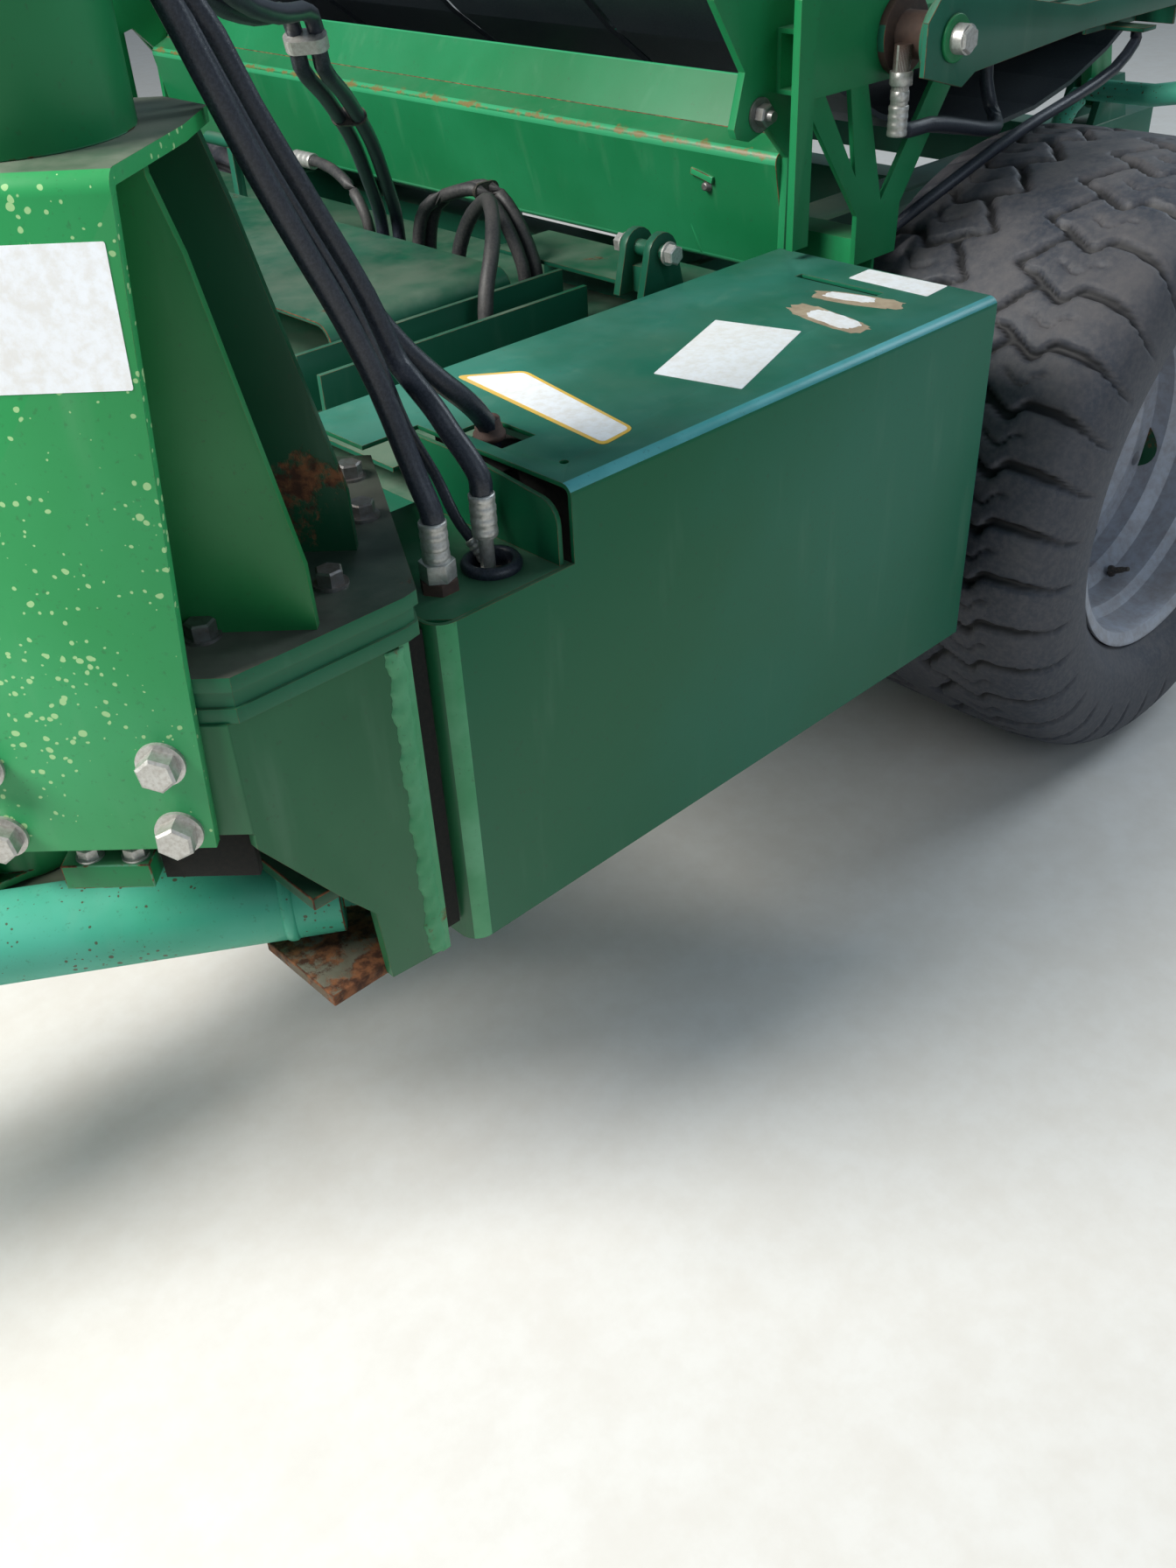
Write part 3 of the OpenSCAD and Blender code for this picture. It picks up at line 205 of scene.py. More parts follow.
def shader_group(name, inputs, outputs):
    made = bpy.data.node_groups.new(name, "ShaderNodeTree")
    kinds = {"colour": "NodeSocketColor", "value": "NodeSocketFloat"}
    for way, sockets in (("INPUT", inputs), ("OUTPUT", outputs)):
        for kind, titles in sockets:
            for title in titles:
                made.interface.new_socket(title, in_out=way, socket_type=kinds[kind])
    return made, made.nodes.new("NodeGroupInput").outputs, made.nodes.new("NodeGroupOutput")


FINISH_OUTPUTS = [("colour", ["Color"]), ("value", ["Roughness", "Height"])]
PAINT_INPUTS = [("colour", ["Paint", "Faded", "Fold"]), ("value", ["Cloud Scale", "Rust", "Dust", "Chips"])]
g, given, result = shader_group("weathered_paint", PAINT_INPUTS, FINISH_OUTPUTS)
paint_group = g
coordinates = put(g, "ShaderNodeTexCoord").outputs
here = coordinates["Object"]
clouds = noise(g, here, given["Cloud Scale"], 5.0)
colour = mix(g, mask(g, clouds, 0.36, 0.68), given["Paint"], given["Faded"])
drawn_out = put(g, "ShaderNodeMapping", {"Vector": here, "Scale": (1.0, 1.0, 0.16)}).outputs[0]
streaks = mask(g, noise(g, drawn_out, 26.0, 3.0), 0.55, 0.85)
colour = mix(g, times(g, streaks, 0.07), colour, PALE_STREAK)
speckle = mask(g, noise(g, here, 160.0, 3.0, 0.7), 0.60, 0.72)
colour = mix(g, times(g, speckle, 0.30), colour, DARK_SPECKLE)
upward = put(g, "ShaderNodeSeparateXYZ", {0: coordinates["Normal"]}).outputs["Z"]
settled = times(g, mask(g, upward, 0.35, 0.95), given["Dust"])
dust = times(g, settled, mask(g, noise(g, here, 7.0, 6.0, 0.65), 0.30, 0.72))
colour = mix(g, dust, colour, SETTLED_DUST)
fold = put(g, "ShaderNodeAttribute", attribute_name="fold").outputs["Fac"]
# the fold colour is a painted highlight along the fold, and on the trough also worn paint
colour = mix(g, times(g, fold, 0.75), colour, given["Fold"])
edge = put(g, "ShaderNodeAttribute", attribute_name="edge").outputs["Fac"]
worn_edge = times(g, edge, mask(g, noise(g, here, 15.0, 4.0), 0.30, 0.62))
colour = mix(g, times(g, worn_edge, 0.55), colour, WORN_PAINT)
chips = plus(g, times(g, edge, given["Chips"]), noise(g, here, 34.0, 5.0, 0.7))
patches = plus(g, noise(g, here, 6.5, 9.0, 0.72), times(g, given["Rust"], 0.5))
rusty = calc(g, "MAXIMUM", mask(g, chips, 0.96, 1.06), mask(g, patches, 0.80, 0.86))
rust = mix(g, mask(g, noise(g, here, 90.0, 4.0), 0.35, 0.65), DARK_RUST, LIGHT_RUST)
shine = plus(g, 0.30, times(g, clouds, 0.18))
wire(g, result, {
    "Color": mix(g, rusty, colour, rust),
    "Roughness": plus(g, shine, times(g, calc(g, "MAXIMUM", dust, rusty), 0.42)),
    "Height": plus(g, times(g, noise(g, here, 55.0, 3.0), 0.12), times(g, rusty, -0.9))})
print("weathered_paint has", len(g.nodes), "nodes")

# %% [markdown]
# ## Pale spots
# The pedestal's front plate is sprinkled with pale round blotches a few millimetres wide, as lichen
# or old droppings leave them. Cells of a Voronoi texture make round spots, and noise decides where
# they gather, so they come in swarms and not as a regular print.

# %% Pale spots group
BEND = (0.006, 0.006, 0.006)
g, given, result = shader_group("pale_spots", [("value", ["Amount", "Scale"])], [("value", ["Mask"])])
spots_group = g
here = put(g, "ShaderNodeTexCoord").outputs["Object"]
bent = put(g, "ShaderNodeTexNoise", {"Vector": here, "Scale": 60.0}).outputs["Color"]
bent = put(g, "ShaderNodeVectorMath", {0: bent, 1: BEND}, operation="MULTIPLY").outputs[0]
moved = put(g, "ShaderNodeVectorMath", {0: here, 1: bent}, operation="ADD").outputs[0]
cells = put(g, "ShaderNodeTexVoronoi", {"Vector": moved, "Scale": given["Scale"]}).outputs
cell_chance = put(g, "ShaderNodeSeparateColor", {0: cells["Color"]}).outputs[0]
swarm = mask(g, noise(g, here, 8.0, 4.0), 0.30, 0.60)
radius = times(g, times(g, times(g, swarm, given["Amount"]), 0.46), cell_chance)
wire(g, result, {"Mask": mask(g, calc(g, "SUBTRACT", radius, cells["Distance"]), 0.0, 0.05)})
print("pale_spots has", len(g.nodes), "nodes")

# %% [markdown]
# ## Grime
# Rubber, bare steel, the silver rims and the labels are not painted green, but all carry the same
# earth: a film with clouds in it, denser where a face looks up, with fine grain in its surface.

# %% Grime group
g, given, result = shader_group("grime", [
    ("colour", ["Clean", "Earth"]), ("value", ["Amount", "Grain Scale", "Shine"])], FINISH_OUTPUTS)
grime_group = g
coordinates = put(g, "ShaderNodeTexCoord").outputs
here = coordinates["Object"]
grain = noise(g, here, given["Grain Scale"], 4.0, 0.65)
film = mask(g, noise(g, here, 9.0, 6.0, 0.62), 0.32, 0.74)
upward = put(g, "ShaderNodeSeparateXYZ", {0: coordinates["Normal"]}).outputs["Z"]
upward = plus(g, 0.45, times(g, mask(g, upward, 0.0, 0.9), 0.75))
cover = times(g, times(g, film, upward), given["Amount"])
tinted = mix(g, times(g, mask(g, grain, 0.35, 0.70), 0.35), given["Clean"], given["Earth"])
wire(g, result, {"Color": mix(g, cover, tinted, given["Earth"]),
                 "Roughness": plus(g, given["Shine"], times(g, cover, 0.35)), "Height": grain})
print("grime has", len(g.nodes), "nodes")

# %% [markdown]
# ## The painted finishes
# Each material places the paint group with its own values and keeps its shader outside the group. A
# bump node turns the group's height into normals. Two things belong to a few finishes only: the pale
# or brown spots, and a ragged line of rust at one height, where the trough is folded.

# %% Painted materials
RUST_LINE = (0.17, 0.13, 0.045, 1)


def new_material(name):
    made = bpy.data.materials.new(name)
    made.use_nodes = True
    return made, made.node_tree, made.node_tree.nodes["Principled BSDF"]


def painted(name, paint, faded, clouds=1.6, rust=0.1, dust=0.3, chips=0.5, spots=0.0, rust_line=None,
            fold=None, spot_colour=(0.40, 0.64, 0.30), spot_scale=118.0):
    made, tree, shader = new_material(name)
    old = put(tree, "ShaderNodeGroup", {
        "Paint": (*paint, 1), "Faded": (*faded, 1), "Fold": (*(fold or paint), 1), "Cloud Scale": clouds,
        "Rust": rust, "Dust": dust, "Chips": chips}, node_tree=paint_group).outputs
    colour = old["Color"]
    if spots:
        pale = put(tree, "ShaderNodeGroup", {"Amount": spots, "Scale": spot_scale}, node_tree=spots_group)
        colour = mix(tree, times(tree, pale.outputs["Mask"], 0.85), colour, (*spot_colour, 1))
    if rust_line:
        place = put(tree, "ShaderNodeTexCoord").outputs["Object"]
        height = put(tree, "ShaderNodeSeparateXYZ", {0: place}).outputs["Z"]
        away = calc(tree, "ABSOLUTE", calc(tree, "SUBTRACT", height, rust_line))
        ragged = plus(tree, away, times(tree, noise(tree, place, 38.0, 6.0, 0.7), 0.030))
        colour = mix(tree, calc(tree, "SUBTRACT", 1.0, mask(tree, ragged, 0.014, 0.019)), colour, RUST_LINE)
    bump = put(tree, "ShaderNodeBump", {"Height": old["Height"], "Strength": 0.35, "Distance": 0.002})
    wire(tree, shader, {"Base Color": colour, "Roughness": old["Roughness"], "Normal": bump.outputs[0],
                        "Specular IOR Level": 0.32})
    return made


# columns: name, paint, faded, cloud scale, rust, dust, chips
bright_green = painted("bright_green_paint", (0.008, 0.180, 0.056), (0.020, 0.245, 0.095), rust=0.14)
spotted_green = painted("spotted_green_paint", (0.022, 0.285, 0.080), (0.055, 0.370, 0.150), rust=0.04,
                        spots=1.0)
# the cover's fold colour is a painted highlight: the pale blue of the sky that its folds catch
cover_green = painted("cover_green_paint", (0.006, 0.112, 0.046), (0.010, 0.140, 0.080), 1.1, 0.12, 0.20, 0.7,
                      fold=(0.075, 0.330, 0.330))
# the covers' tops are painted lighter and bluer as a painted reflection of the sky, with real wiped patches
# in its clouds
top_sky_sheen_green = painted("cover_top_sky_sheen_paint", (0.012, 0.118, 0.076), (0.030, 0.165, 0.125),
                          5.0, 0.12, 0.10, 0.7)
# a painted highlight: the bright blue line the sky leaves along the fold between the covers' tops and sides
fold_highlight_green = painted("cover_fold_highlight_paint", (0.045, 0.270, 0.275), (0.090, 0.370, 0.400),
                           6.0, 0.10, 0.0, 0.5)
corner_green = painted("corner_green_paint", (0.010, 0.105, 0.040), (0.022, 0.135, 0.056),
                       2.0, 0.16, 0.20, 0.9)
# the trough's fold colour is partly worn paint and partly a painted highlight along its folds
trough_green = painted("trough_green_paint", (0.007, 0.150, 0.050), (0.016, 0.200, 0.080),
                       2.0, 0.16, 0.10, 0.8, rust_line=1.043, fold=(0.040, 0.330, 0.150))
# painted shade: a darker copy of the green for the chassis, axle, deck, deck cover and film cutters
shaded_green = painted("shaded_green_paint", (0.008, 0.090, 0.050), (0.020, 0.135, 0.085), 2.2, 0.32, 0.42, 0.8)
web_green = painted("web_green_paint", (0.012, 0.165, 0.045), (0.030, 0.215, 0.070), 3.0, 0.22, 0.20, 0.9)
dark_green = painted("dark_green_paint", (0.005, 0.054, 0.022), (0.010, 0.080, 0.036), 2.0, 0.50, 0.40, 0.9)
strip_green = painted("strip_green_paint", (0.045, 0.270, 0.110), (0.110, 0.360, 0.190),
                      9.0, 0.42, 0.20, 0.7)
rusty_green = painted("rusty_green_paint", (0.020, 0.075, 0.036), (0.090, 0.065, 0.040),
                      3.0, 0.62, 0.55, 1.0)
pale_green = painted("pale_green_paint", (0.045, 0.360, 0.220), (0.100, 0.470, 0.350), 2.5, 0.30, 0.10, 0.6,
                     spots=0.9, spot_colour=(0.085, 0.050, 0.025), spot_scale=130.0)
dusty_green = painted("dusty_green_paint", (0.030, 0.090, 0.052), (0.090, 0.130, 0.085),
                      5.0, 0.25, 0.80, 0.9)
sooty_green = painted("sooty_green_paint", (0.014, 0.034, 0.024), (0.060, 0.060, 0.050),
                      6.0, 0.42, 0.25, 0.9)
print("painted materials ready")

# %% [markdown]
# ## The other finishes
# Rubber, steel, plastic and paper place the grime group. The tread's rubber is painted darker in its
# grooves as painted shade, which a point attribute marks. Deep shade is for plates behind openings,
# where no light comes back.

# %% Plain materials
# painted shade for the bottoms of the tread's grooves
GROOVE_SHADE = (0.009, 0.009, 0.011, 1)


def grimy(name, clean, earth, amount, grain, shine, metal=0.0, bump=0.3, depth=0.001, dark_at=None):
    made, tree, shader = new_material(name)
    dirt = put(tree, "ShaderNodeGroup", {
        "Clean": (*clean, 1), "Earth": (*earth, 1), "Amount": amount, "Grain Scale": grain, "Shine": shine},
        node_tree=grime_group).outputs
    bumped = put(tree, "ShaderNodeBump", {"Height": dirt["Height"], "Strength": bump, "Distance": depth})
    colour = dirt["Color"]
    if dark_at:
        marked = put(tree, "ShaderNodeAttribute", attribute_name=dark_at).outputs["Fac"]
        colour = mix(tree, times(tree, mask(tree, marked, 0.15, 0.90), 0.92), colour, GROOVE_SHADE)
    wire(tree, shader, {"Base Color": colour, "Roughness": dirt["Roughness"], "Normal": bumped.outputs[0],
                        "Metallic": metal})
    return made


# columns: name, clean colour, earth colour, amount of earth, grain scale, roughness, metal
hose_rubber = grimy("hose_rubber", (0.010, 0.013, 0.021), (0.075, 0.085, 0.115), 0.22, 420.0, 0.34)
dusty_hose = grimy("dusty_hose", (0.020, 0.021, 0.025), (0.120, 0.110, 0.100), 0.50, 300.0, 0.50)
tread_rubber = grimy("tread_rubber", (0.032, 0.038, 0.054), (0.125, 0.116, 0.118), 0.66, 110.0, 0.56,
                     bump=0.5, dark_at="groove")
belt_rubber = grimy("belt_rubber", (0.016, 0.024, 0.034), (0.08, 0.09, 0.10), 0.30, 300.0, 0.42)
zinc = grimy("zinc_steel", (0.58, 0.58, 0.56), (0.20, 0.16, 0.12), 0.30, 240.0, 0.36, 0.65)
worn_steel = grimy("worn_steel", (0.30, 0.30, 0.30), (0.13, 0.075, 0.045), 0.55, 120.0, 0.36, 0.8)
rust_steel = grimy("rusty_steel", (0.050, 0.028, 0.022), (0.110, 0.060, 0.042), 0.60, 90.0, 0.74)
rim_silver = grimy("rim_silver", (0.40, 0.43, 0.50), (0.20, 0.16, 0.13), 0.45, 60.0, 0.46, 0.25)
chrome = grimy("chrome_rod", (0.62, 0.63, 0.64), (0.24, 0.20, 0.16), 0.20, 300.0, 0.14, 0.95, bump=0.05)
label_white = grimy("label_white", (0.84, 0.87, 0.92), (0.60, 0.54, 0.44), 0.22, 90.0, 0.42, bump=0.1)
label_worn = grimy("label_worn", (0.42, 0.34, 0.24), (0.20, 0.14, 0.09), 0.80, 60.0, 0.60)
label_yellow = grimy("label_yellow", (0.74, 0.46, 0.05), (0.50, 0.38, 0.22), 0.30, 90.0, 0.44, bump=0.1)
black_plastic = grimy("black_plastic", (0.012, 0.012, 0.014), (0.21, 0.165, 0.12), 0.18, 300.0, 0.40)
deep_shade = grimy("deep_shade", (0.003, 0.004, 0.003), (0.020, 0.015, 0.010), 0.15, 200.0, 0.90)
lamp_red = grimy("red_lamp_lens", (0.42, 0.012, 0.010), (0.20, 0.10, 0.07), 0.20, 200.0, 0.16)
floor_pale = grimy("floor_pale", (0.66, 0.645, 0.62), (0.60, 0.57, 0.53), 0.5, 30.0, 0.85, bump=0.05)
floor_mesh.materials.append(floor_pale)
print(len(bpy.data.materials), "materials")

# %% [markdown]
# ## Rounded edges for the steelwork
# CAD plates have edges of zero radius, which catch no light. Real flame-cut and folded steel has a
# rounded or chipped edge a millimetre or two wide. Each steel node is copied, its loose triangles are
# merged back into whole faces, and its sharp edges are bevelled. The long folds of thin sheet get a
# bigger radius first. The new narrow faces get the attribute edge or fold, which the paint group reads.
# The copy then stands for the node.

# %% Tools for the steelwork
SHARP = math.radians(28)
CURVED = math.radians(1.0)
FLAT = math.radians(0.4)
FOLD_AREA = 0.012
SAME_PLACE, NO_LENGTH = 0.00002, 0.00001
FOLD_STEPS, EDGE_STEPS = 4, 2


def clean_copy(node):
    shape = bmesh.new()
    shape.from_mesh(nodes[node].data)
    bmesh.ops.remove_doubles(shape, verts=shape.verts, dist=SAME_PLACE)
    bmesh.ops.dissolve_degenerate(shape, dist=NO_LENGTH, edges=shape.edges)
    bmesh.ops.dissolve_limit(shape, angle_limit=FLAT, verts=shape.verts, edges=shape.edges)
    return shape


def is_fold(edge):
    return edge.calc_face_angle_signed(0.0) > 0 and min(f.calc_area() for f in edge.link_faces) > FOLD_AREA


def bevel(shape, mark, radius, steps, chosen=None):
    """Round the sharp edges that are chosen, and write the attribute mark on the new faces."""
    layer = shape.loops.layers.float.new(mark)
    sharp = [e for e in shape.edges if len(e.link_faces) == 2 and e.calc_face_angle(0.0) > SHARP
             and (chosen is None or chosen(e))]
    made = bmesh.ops.bevel(shape, geom=sharp, offset=radius, offset_type="OFFSET", segments=steps,
                           profile=0.5, affect="EDGES", clamp_overlap=True)
    for face in made["faces"]:
        for loop in face.loops:
            loop[layer] = 1.0
    return set(made["faces"]), len(sharp)


def round_edges(shape, radius):
    fresh, count = bevel(shape, "edge", radius, EDGE_STEPS)
    for face in shape.faces:
        face.smooth = face in fresh or any(CURVED < e.calc_face_angle(0.0) < SHARP for e in face.edges)
    return count


def piece_from(shape, name, body, material):
    mesh = bpy.data.meshes.new(name)
    shape.to_mesh(mesh)
    shape.free()
    mesh.materials.append(material)
    made = into_scene(name, mesh)
    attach(made, body)
    return made


print("sharp edges are those over", round(math.degrees(SHARP)), "degrees")


# %% Dress the steel nodes
def dress(node, material, radius_mm, fold_mm=0):
    shape = clean_copy(node)
    if fold_mm:
        bevel(shape, "fold", fold_mm * MM, FOLD_STEPS, is_fold)
    edges = round_edges(shape, radius_mm * MM)
    made = piece_from(shape, node + "_dressed", body_of_node[node], material)
    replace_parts(made, node)
    print(node, "edges rounded:", edges, "faces:", len(made.data.polygons))


COVERS, CUTTERS = "left_cover right_cover", "film_cutter_left film_cutter_right"
# columns: nodes, finish, radius of the edges and of the folds in millimetres
STEELWORK = [
    # the chassis, axle, deck and cutters take the darker green as painted shade
    ("chassis_frame axle", shaded_green, 3.0), ("deck_plates", shaded_green, 1.0),
    (CUTTERS, shaded_green, 1.2), ("deck_cover", shaded_green, 1.0, 6),
    (COVERS, cover_green, 0.9, 5), ("hose_bulkhead", cover_green, 1.0),
    ("front_corner", corner_green, 1.5, 6), ("table_trough", trough_green, 1.2, 4),
    ("swing_ears", rusty_green, 1.5), ("mast_pedestal", spotted_green, 2.2),
    ("swing_barrel", pale_green, 1.5),
    ("mast jack_tube tilt_barrel loader_barrel dispenser_left dispenser_right", bright_green, 1.5),
    ("table_frame", bright_green, 1.8), ("rotor_drive light_bar", bright_green, 2.0),
    ("drawbar loader_fork rotor_beam", bright_green, 3.0), ("towing_eye", worn_steel, 3.0),
    ("rim_left rim_right", rim_silver, 1.2),
]
for names, finish, *radii in STEELWORK:
    for node_name in names.split():
        dress(node_name, finish, *radii)

# %% [markdown]
# ## The loader's pin
# The pin is a twentieth of a millimetre smaller than its holes. Both are made of flat facets, which
# differ by more than that once the loader has turned, so the pin's skin is drawn in a little.

# %% Draw the pin in
PIN_AXIS = Vector((1.330, 0, 0.560))
PIN_NEAR, PIN_FAR = 23.0 * MM, 25.2 * MM
DRAWN_IN = 0.3 * MM
pin_points = 0
for vert in bpy.data.objects["loader_fork_dressed"].data.vertices:
    out = Vector((vert.co.x - PIN_AXIS.x, 0, vert.co.z - PIN_AXIS.z))
    if PIN_NEAR < out.length < PIN_FAR:
        vert.co -= out.normalized() * DRAWN_IN
        pin_points += 1
print(pin_points, "points of the loader's pin drawn in")

# %% [markdown]
# ## Nodes that keep their CAD shape
# Rollers, rods and belts are already right as solids, so they only get a finish.

# %% Finish the other nodes
PLAIN_NODES = [
    (worn_steel, "jack_leg front_roller rear_roller stretch_rollers_left stretch_rollers_right"),
    (chrome, "swing_rod tilt_rod loader_rod"), (belt_rubber, "table_belts"),
]
for finish, names in PLAIN_NODES:
    for node_name in names.split():
        kept = nodes[node_name].data
        kept.materials.clear()
        kept.materials.append(finish)
    print(finish.name, "on", names)

# %% [markdown]
# ## Hoses and guards
# The CAD hoses and the bent tubes of the rear guards have flat sides. Their copies are shaded as
# round, with a crease only where a hose is cut off.

# %% Round hoses
HOSE_END = math.radians(62)


def round_copy(node, material):
    shape = bmesh.new()
    shape.from_mesh(nodes[node].data)
    bmesh.ops.remove_doubles(shape, verts=shape.verts, dist=0.05 * MM)
    for face in shape.faces:
        face.smooth = True
    for edge in shape.edges:
        edge.smooth = len(edge.link_faces) == 2 and edge.calc_face_angle(0.0) < HOSE_END
    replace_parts(piece_from(shape, node + "_round", body_of_node[node], material), node)


for node_name in ("hose_mast_a", "hose_mast_b", "hose_mast_c", "hose_deck_pair", "hose_table"):
    round_copy(node_name, hose_rubber)
round_copy("hose_loops", dusty_hose)
round_copy("rear_guards", pale_green)
print("hoses and guards are shaded as round")

# %% [markdown]
# ## Tyre tread
# The tread repeats from pitch to pitch, so one pitch is worked out as a small field of depths and
# turned round the axle. Two wavy grooves run round the tyre, and from them bent grooves run out over
# both shoulders, where they grow thin and shallow. Depths are pressed in from the CAD tyre's own
# profile, so the tread stays inside it. The attribute groove lets the rubber be painted darker down
# there, as painted shade in the grooves.

# %% The tyre's outside
TYRE_RADIUS = 0.500
ROW_STEP = 0.0062
CURVE_STEPS = 12
# half of the tyre's outside from the rim out: distance from the middle, radius, in millimetres
TYRE_SIDE = [(205, 299), (219, 315), (240, 340), (247, 366), (249, 393), (247, 420), (241, 444), (230, 465),
             (212, 481), (186, 491), (150, 497), (95, 499.4), (0, 500)]


def profile_points():
    """The whole outside as a smooth curve through the table's points, cut into rows of equal length."""
    side = [Vector((-x * MM, r * MM)) for x, r in TYRE_SIDE]
    whole = side + [Vector((-p.x, p.y)) for p in reversed(side[:-1])]
    last = len(whole) - 1
    fine = []
    for i in range(last):
        a, b, c, d = whole[max(i - 1, 0)], whole[i], whole[i + 1], whole[min(i + 2, last)]
        for k in range(CURVE_STEPS):
            t = k / CURVE_STEPS
            fine.append(0.5 * (2 * b + (c - a) * t + (2 * a - 5 * b + 4 * c - d) * t * t
                               + (3 * b - a - 3 * c + d) * t ** 3))
    fine.append(whole[-1])
    rows, left = [fine[0]], ROW_STEP
    for a, b in zip(fine, fine[1:]):
        length = (b - a).length
        while length >= left and length > 0:
            a = a.lerp(b, left / length)
            rows.append(a)
            length = (b - a).length
            left = ROW_STEP
        left -= length
    return rows


tyre_rows = profile_points()
print(len(tyre_rows), "rows from rim to rim")

# %% Tread shape
PITCHES = 36
STEPS = 18
PITCH = 2 * math.pi * TYRE_RADIUS / PITCHES
GROOVE_DEPTH = 0.013
# a groove is deep up to its half width, and its walls end at the outer number
HALF_WIDTH, WALL_END = 0.0055, 0.0095
# the two grooves that run round: distance from the middle, and how far they sway
RING_AWAY, RING_SWAY, RING_RIPPLE = 0.058, 0.020, 0.007
# where the flat face ends: distance from the middle and radius, and how much longer the side counts
FACE_HALF, FACE_RADIUS, SIDE_STRETCH = 0.190, 0.490, 1.35


def fade(value, low, high):
    t = min(max((value - low) / (high - low), 0.0), 1.0)
    return t * t * (3 - 2 * t)


def wrapped(distance):
    return abs((distance + PITCH / 2) % PITCH - PITCH / 2)


def groove_at(along, across):
    """How deep the tread is cut, from 0 to 1, at a place round the tyre and across it, in metres."""
    along += PITCH / 2 if across <= 0 else 0.0
    out = abs(across)
    turn = 2 * math.pi * along / PITCH
    wave = RING_AWAY + RING_SWAY * math.sin(turn) + RING_RIPPLE * math.sin(2 * turn)
    ring = 1 - fade(abs(out - wave), HALF_WIDTH, WALL_END)
    bend = 0.030 * fade(out, 0.060, 0.130) - 0.022 * fade(out, 0.128, 0.150) + 0.026 * fade(out, 0.160, 0.300)
    narrow = fade(out, 0.19, 0.26)
    cross = 1 - fade(wrapped(along - bend), HALF_WIDTH - 0.003 * narrow, WALL_END - 0.004 * narrow)
    cross *= fade(out, wave - 0.002, wave + 0.006) * (1 - fade(out, 0.285, 0.330)) * (1 - 0.45 * narrow)
    slot = 1 - fade(wrapped(along - bend - PITCH / 2), 0.0015, 0.0045)
    slot *= 0.55 * fade(out, 0.085, 0.100) * (1 - fade(out, 0.150, 0.170))
    return max(ring, cross, slot)


pitch_field = []
for place in tyre_rows:
    reach = abs(place.x) if place.y > FACE_RADIUS else FACE_HALF + (FACE_RADIUS - place.y) * SIDE_STRETCH
    pitch_field.append([groove_at(PITCH * k / STEPS, math.copysign(reach, place.x)) for k in range(STEPS)])
print("one tread pitch:", len(tyre_rows), "rows by", STEPS, "steps")

# %% [markdown]
# ## The tyres' meshes
# Rows and columns make one closed skin that also runs round behind the beads, where the rim hides it.
# The right tyre is the left one mirrored, so its faces are wound the other way to point outwards.

# %% Tyres
def tyre_piece(node, hand):
    low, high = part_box(node)
    centre_y = (low[1] + high[1]) / 2
    columns, rows = PITCHES * STEPS, len(tyre_rows)
    normals = []
    for i in range(rows):
        ahead = tyre_rows[min(i + 1, rows - 1)] - tyre_rows[max(i - 1, 0)]
        normals.append(Vector((-ahead.y, ahead.x)).normalized())
    points, depths, faces = [], [], []
    for column in range(columns):
        angle = 2 * math.pi * column / columns
        here, ahead = column * rows, (column + 1) % columns * rows
        for i, place in enumerate(tyre_rows):
            depth = pitch_field[i][column % STEPS]
            spot = place - normals[i] * depth * GROOVE_DEPTH
            points.append((spot.y * math.sin(angle), centre_y + hand * spot.x,
                           TYRE_RADIUS + spot.y * math.cos(angle)))
            depths.append(depth)
            up = (i + 1) % rows
            face = (here + i, here + up, ahead + up, ahead + i)
            faces.append(face[::-1] if hand > 0 else face)
    mesh = bpy.data.meshes.new(node + "_tread")
    mesh.from_pydata(points, [], faces)
    mesh.polygons.foreach_set("use_smooth", [True] * len(faces))
    mesh.attributes.new("groove", "FLOAT", "POINT").data.foreach_set("value", depths)
    mesh.materials.append(tread_rubber)
    made = into_scene(node + "_tread", mesh)
    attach(made, body_of_node[node])
    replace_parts(made, node)
    print(made.name, "has", len(faces), "faces")


tyre_piece("tyre_left", 1)
tyre_piece("tyre_right", -1)

# %% [markdown]
# ## Bolts
# Bolt heads, washers and nuts repeat all over the machine, so Geometry Nodes makes them. A cloud of
# points gives each one's place, and two attributes on the points give the way it faces and its size
# across flats. The tree sets a chamfered head on a washer at each point, turns it by chance and sets
# its material. The result is turned into a plain mesh, one for each body and finish.

# %% Bolt tree
# all of a bolt's measures are parts of its size across flats
CORNER, CHAMFERED = 0.577, 0.490
WASHER_THICK, HEAD_HIGH, CHAMFER_HIGH = 0.12, 0.50, 0.07
STUB_FOOT, STUB_TOP, STUB_FROM = 0.29, 0.26, 0.66
SIXTH_TURN = math.radians(60)


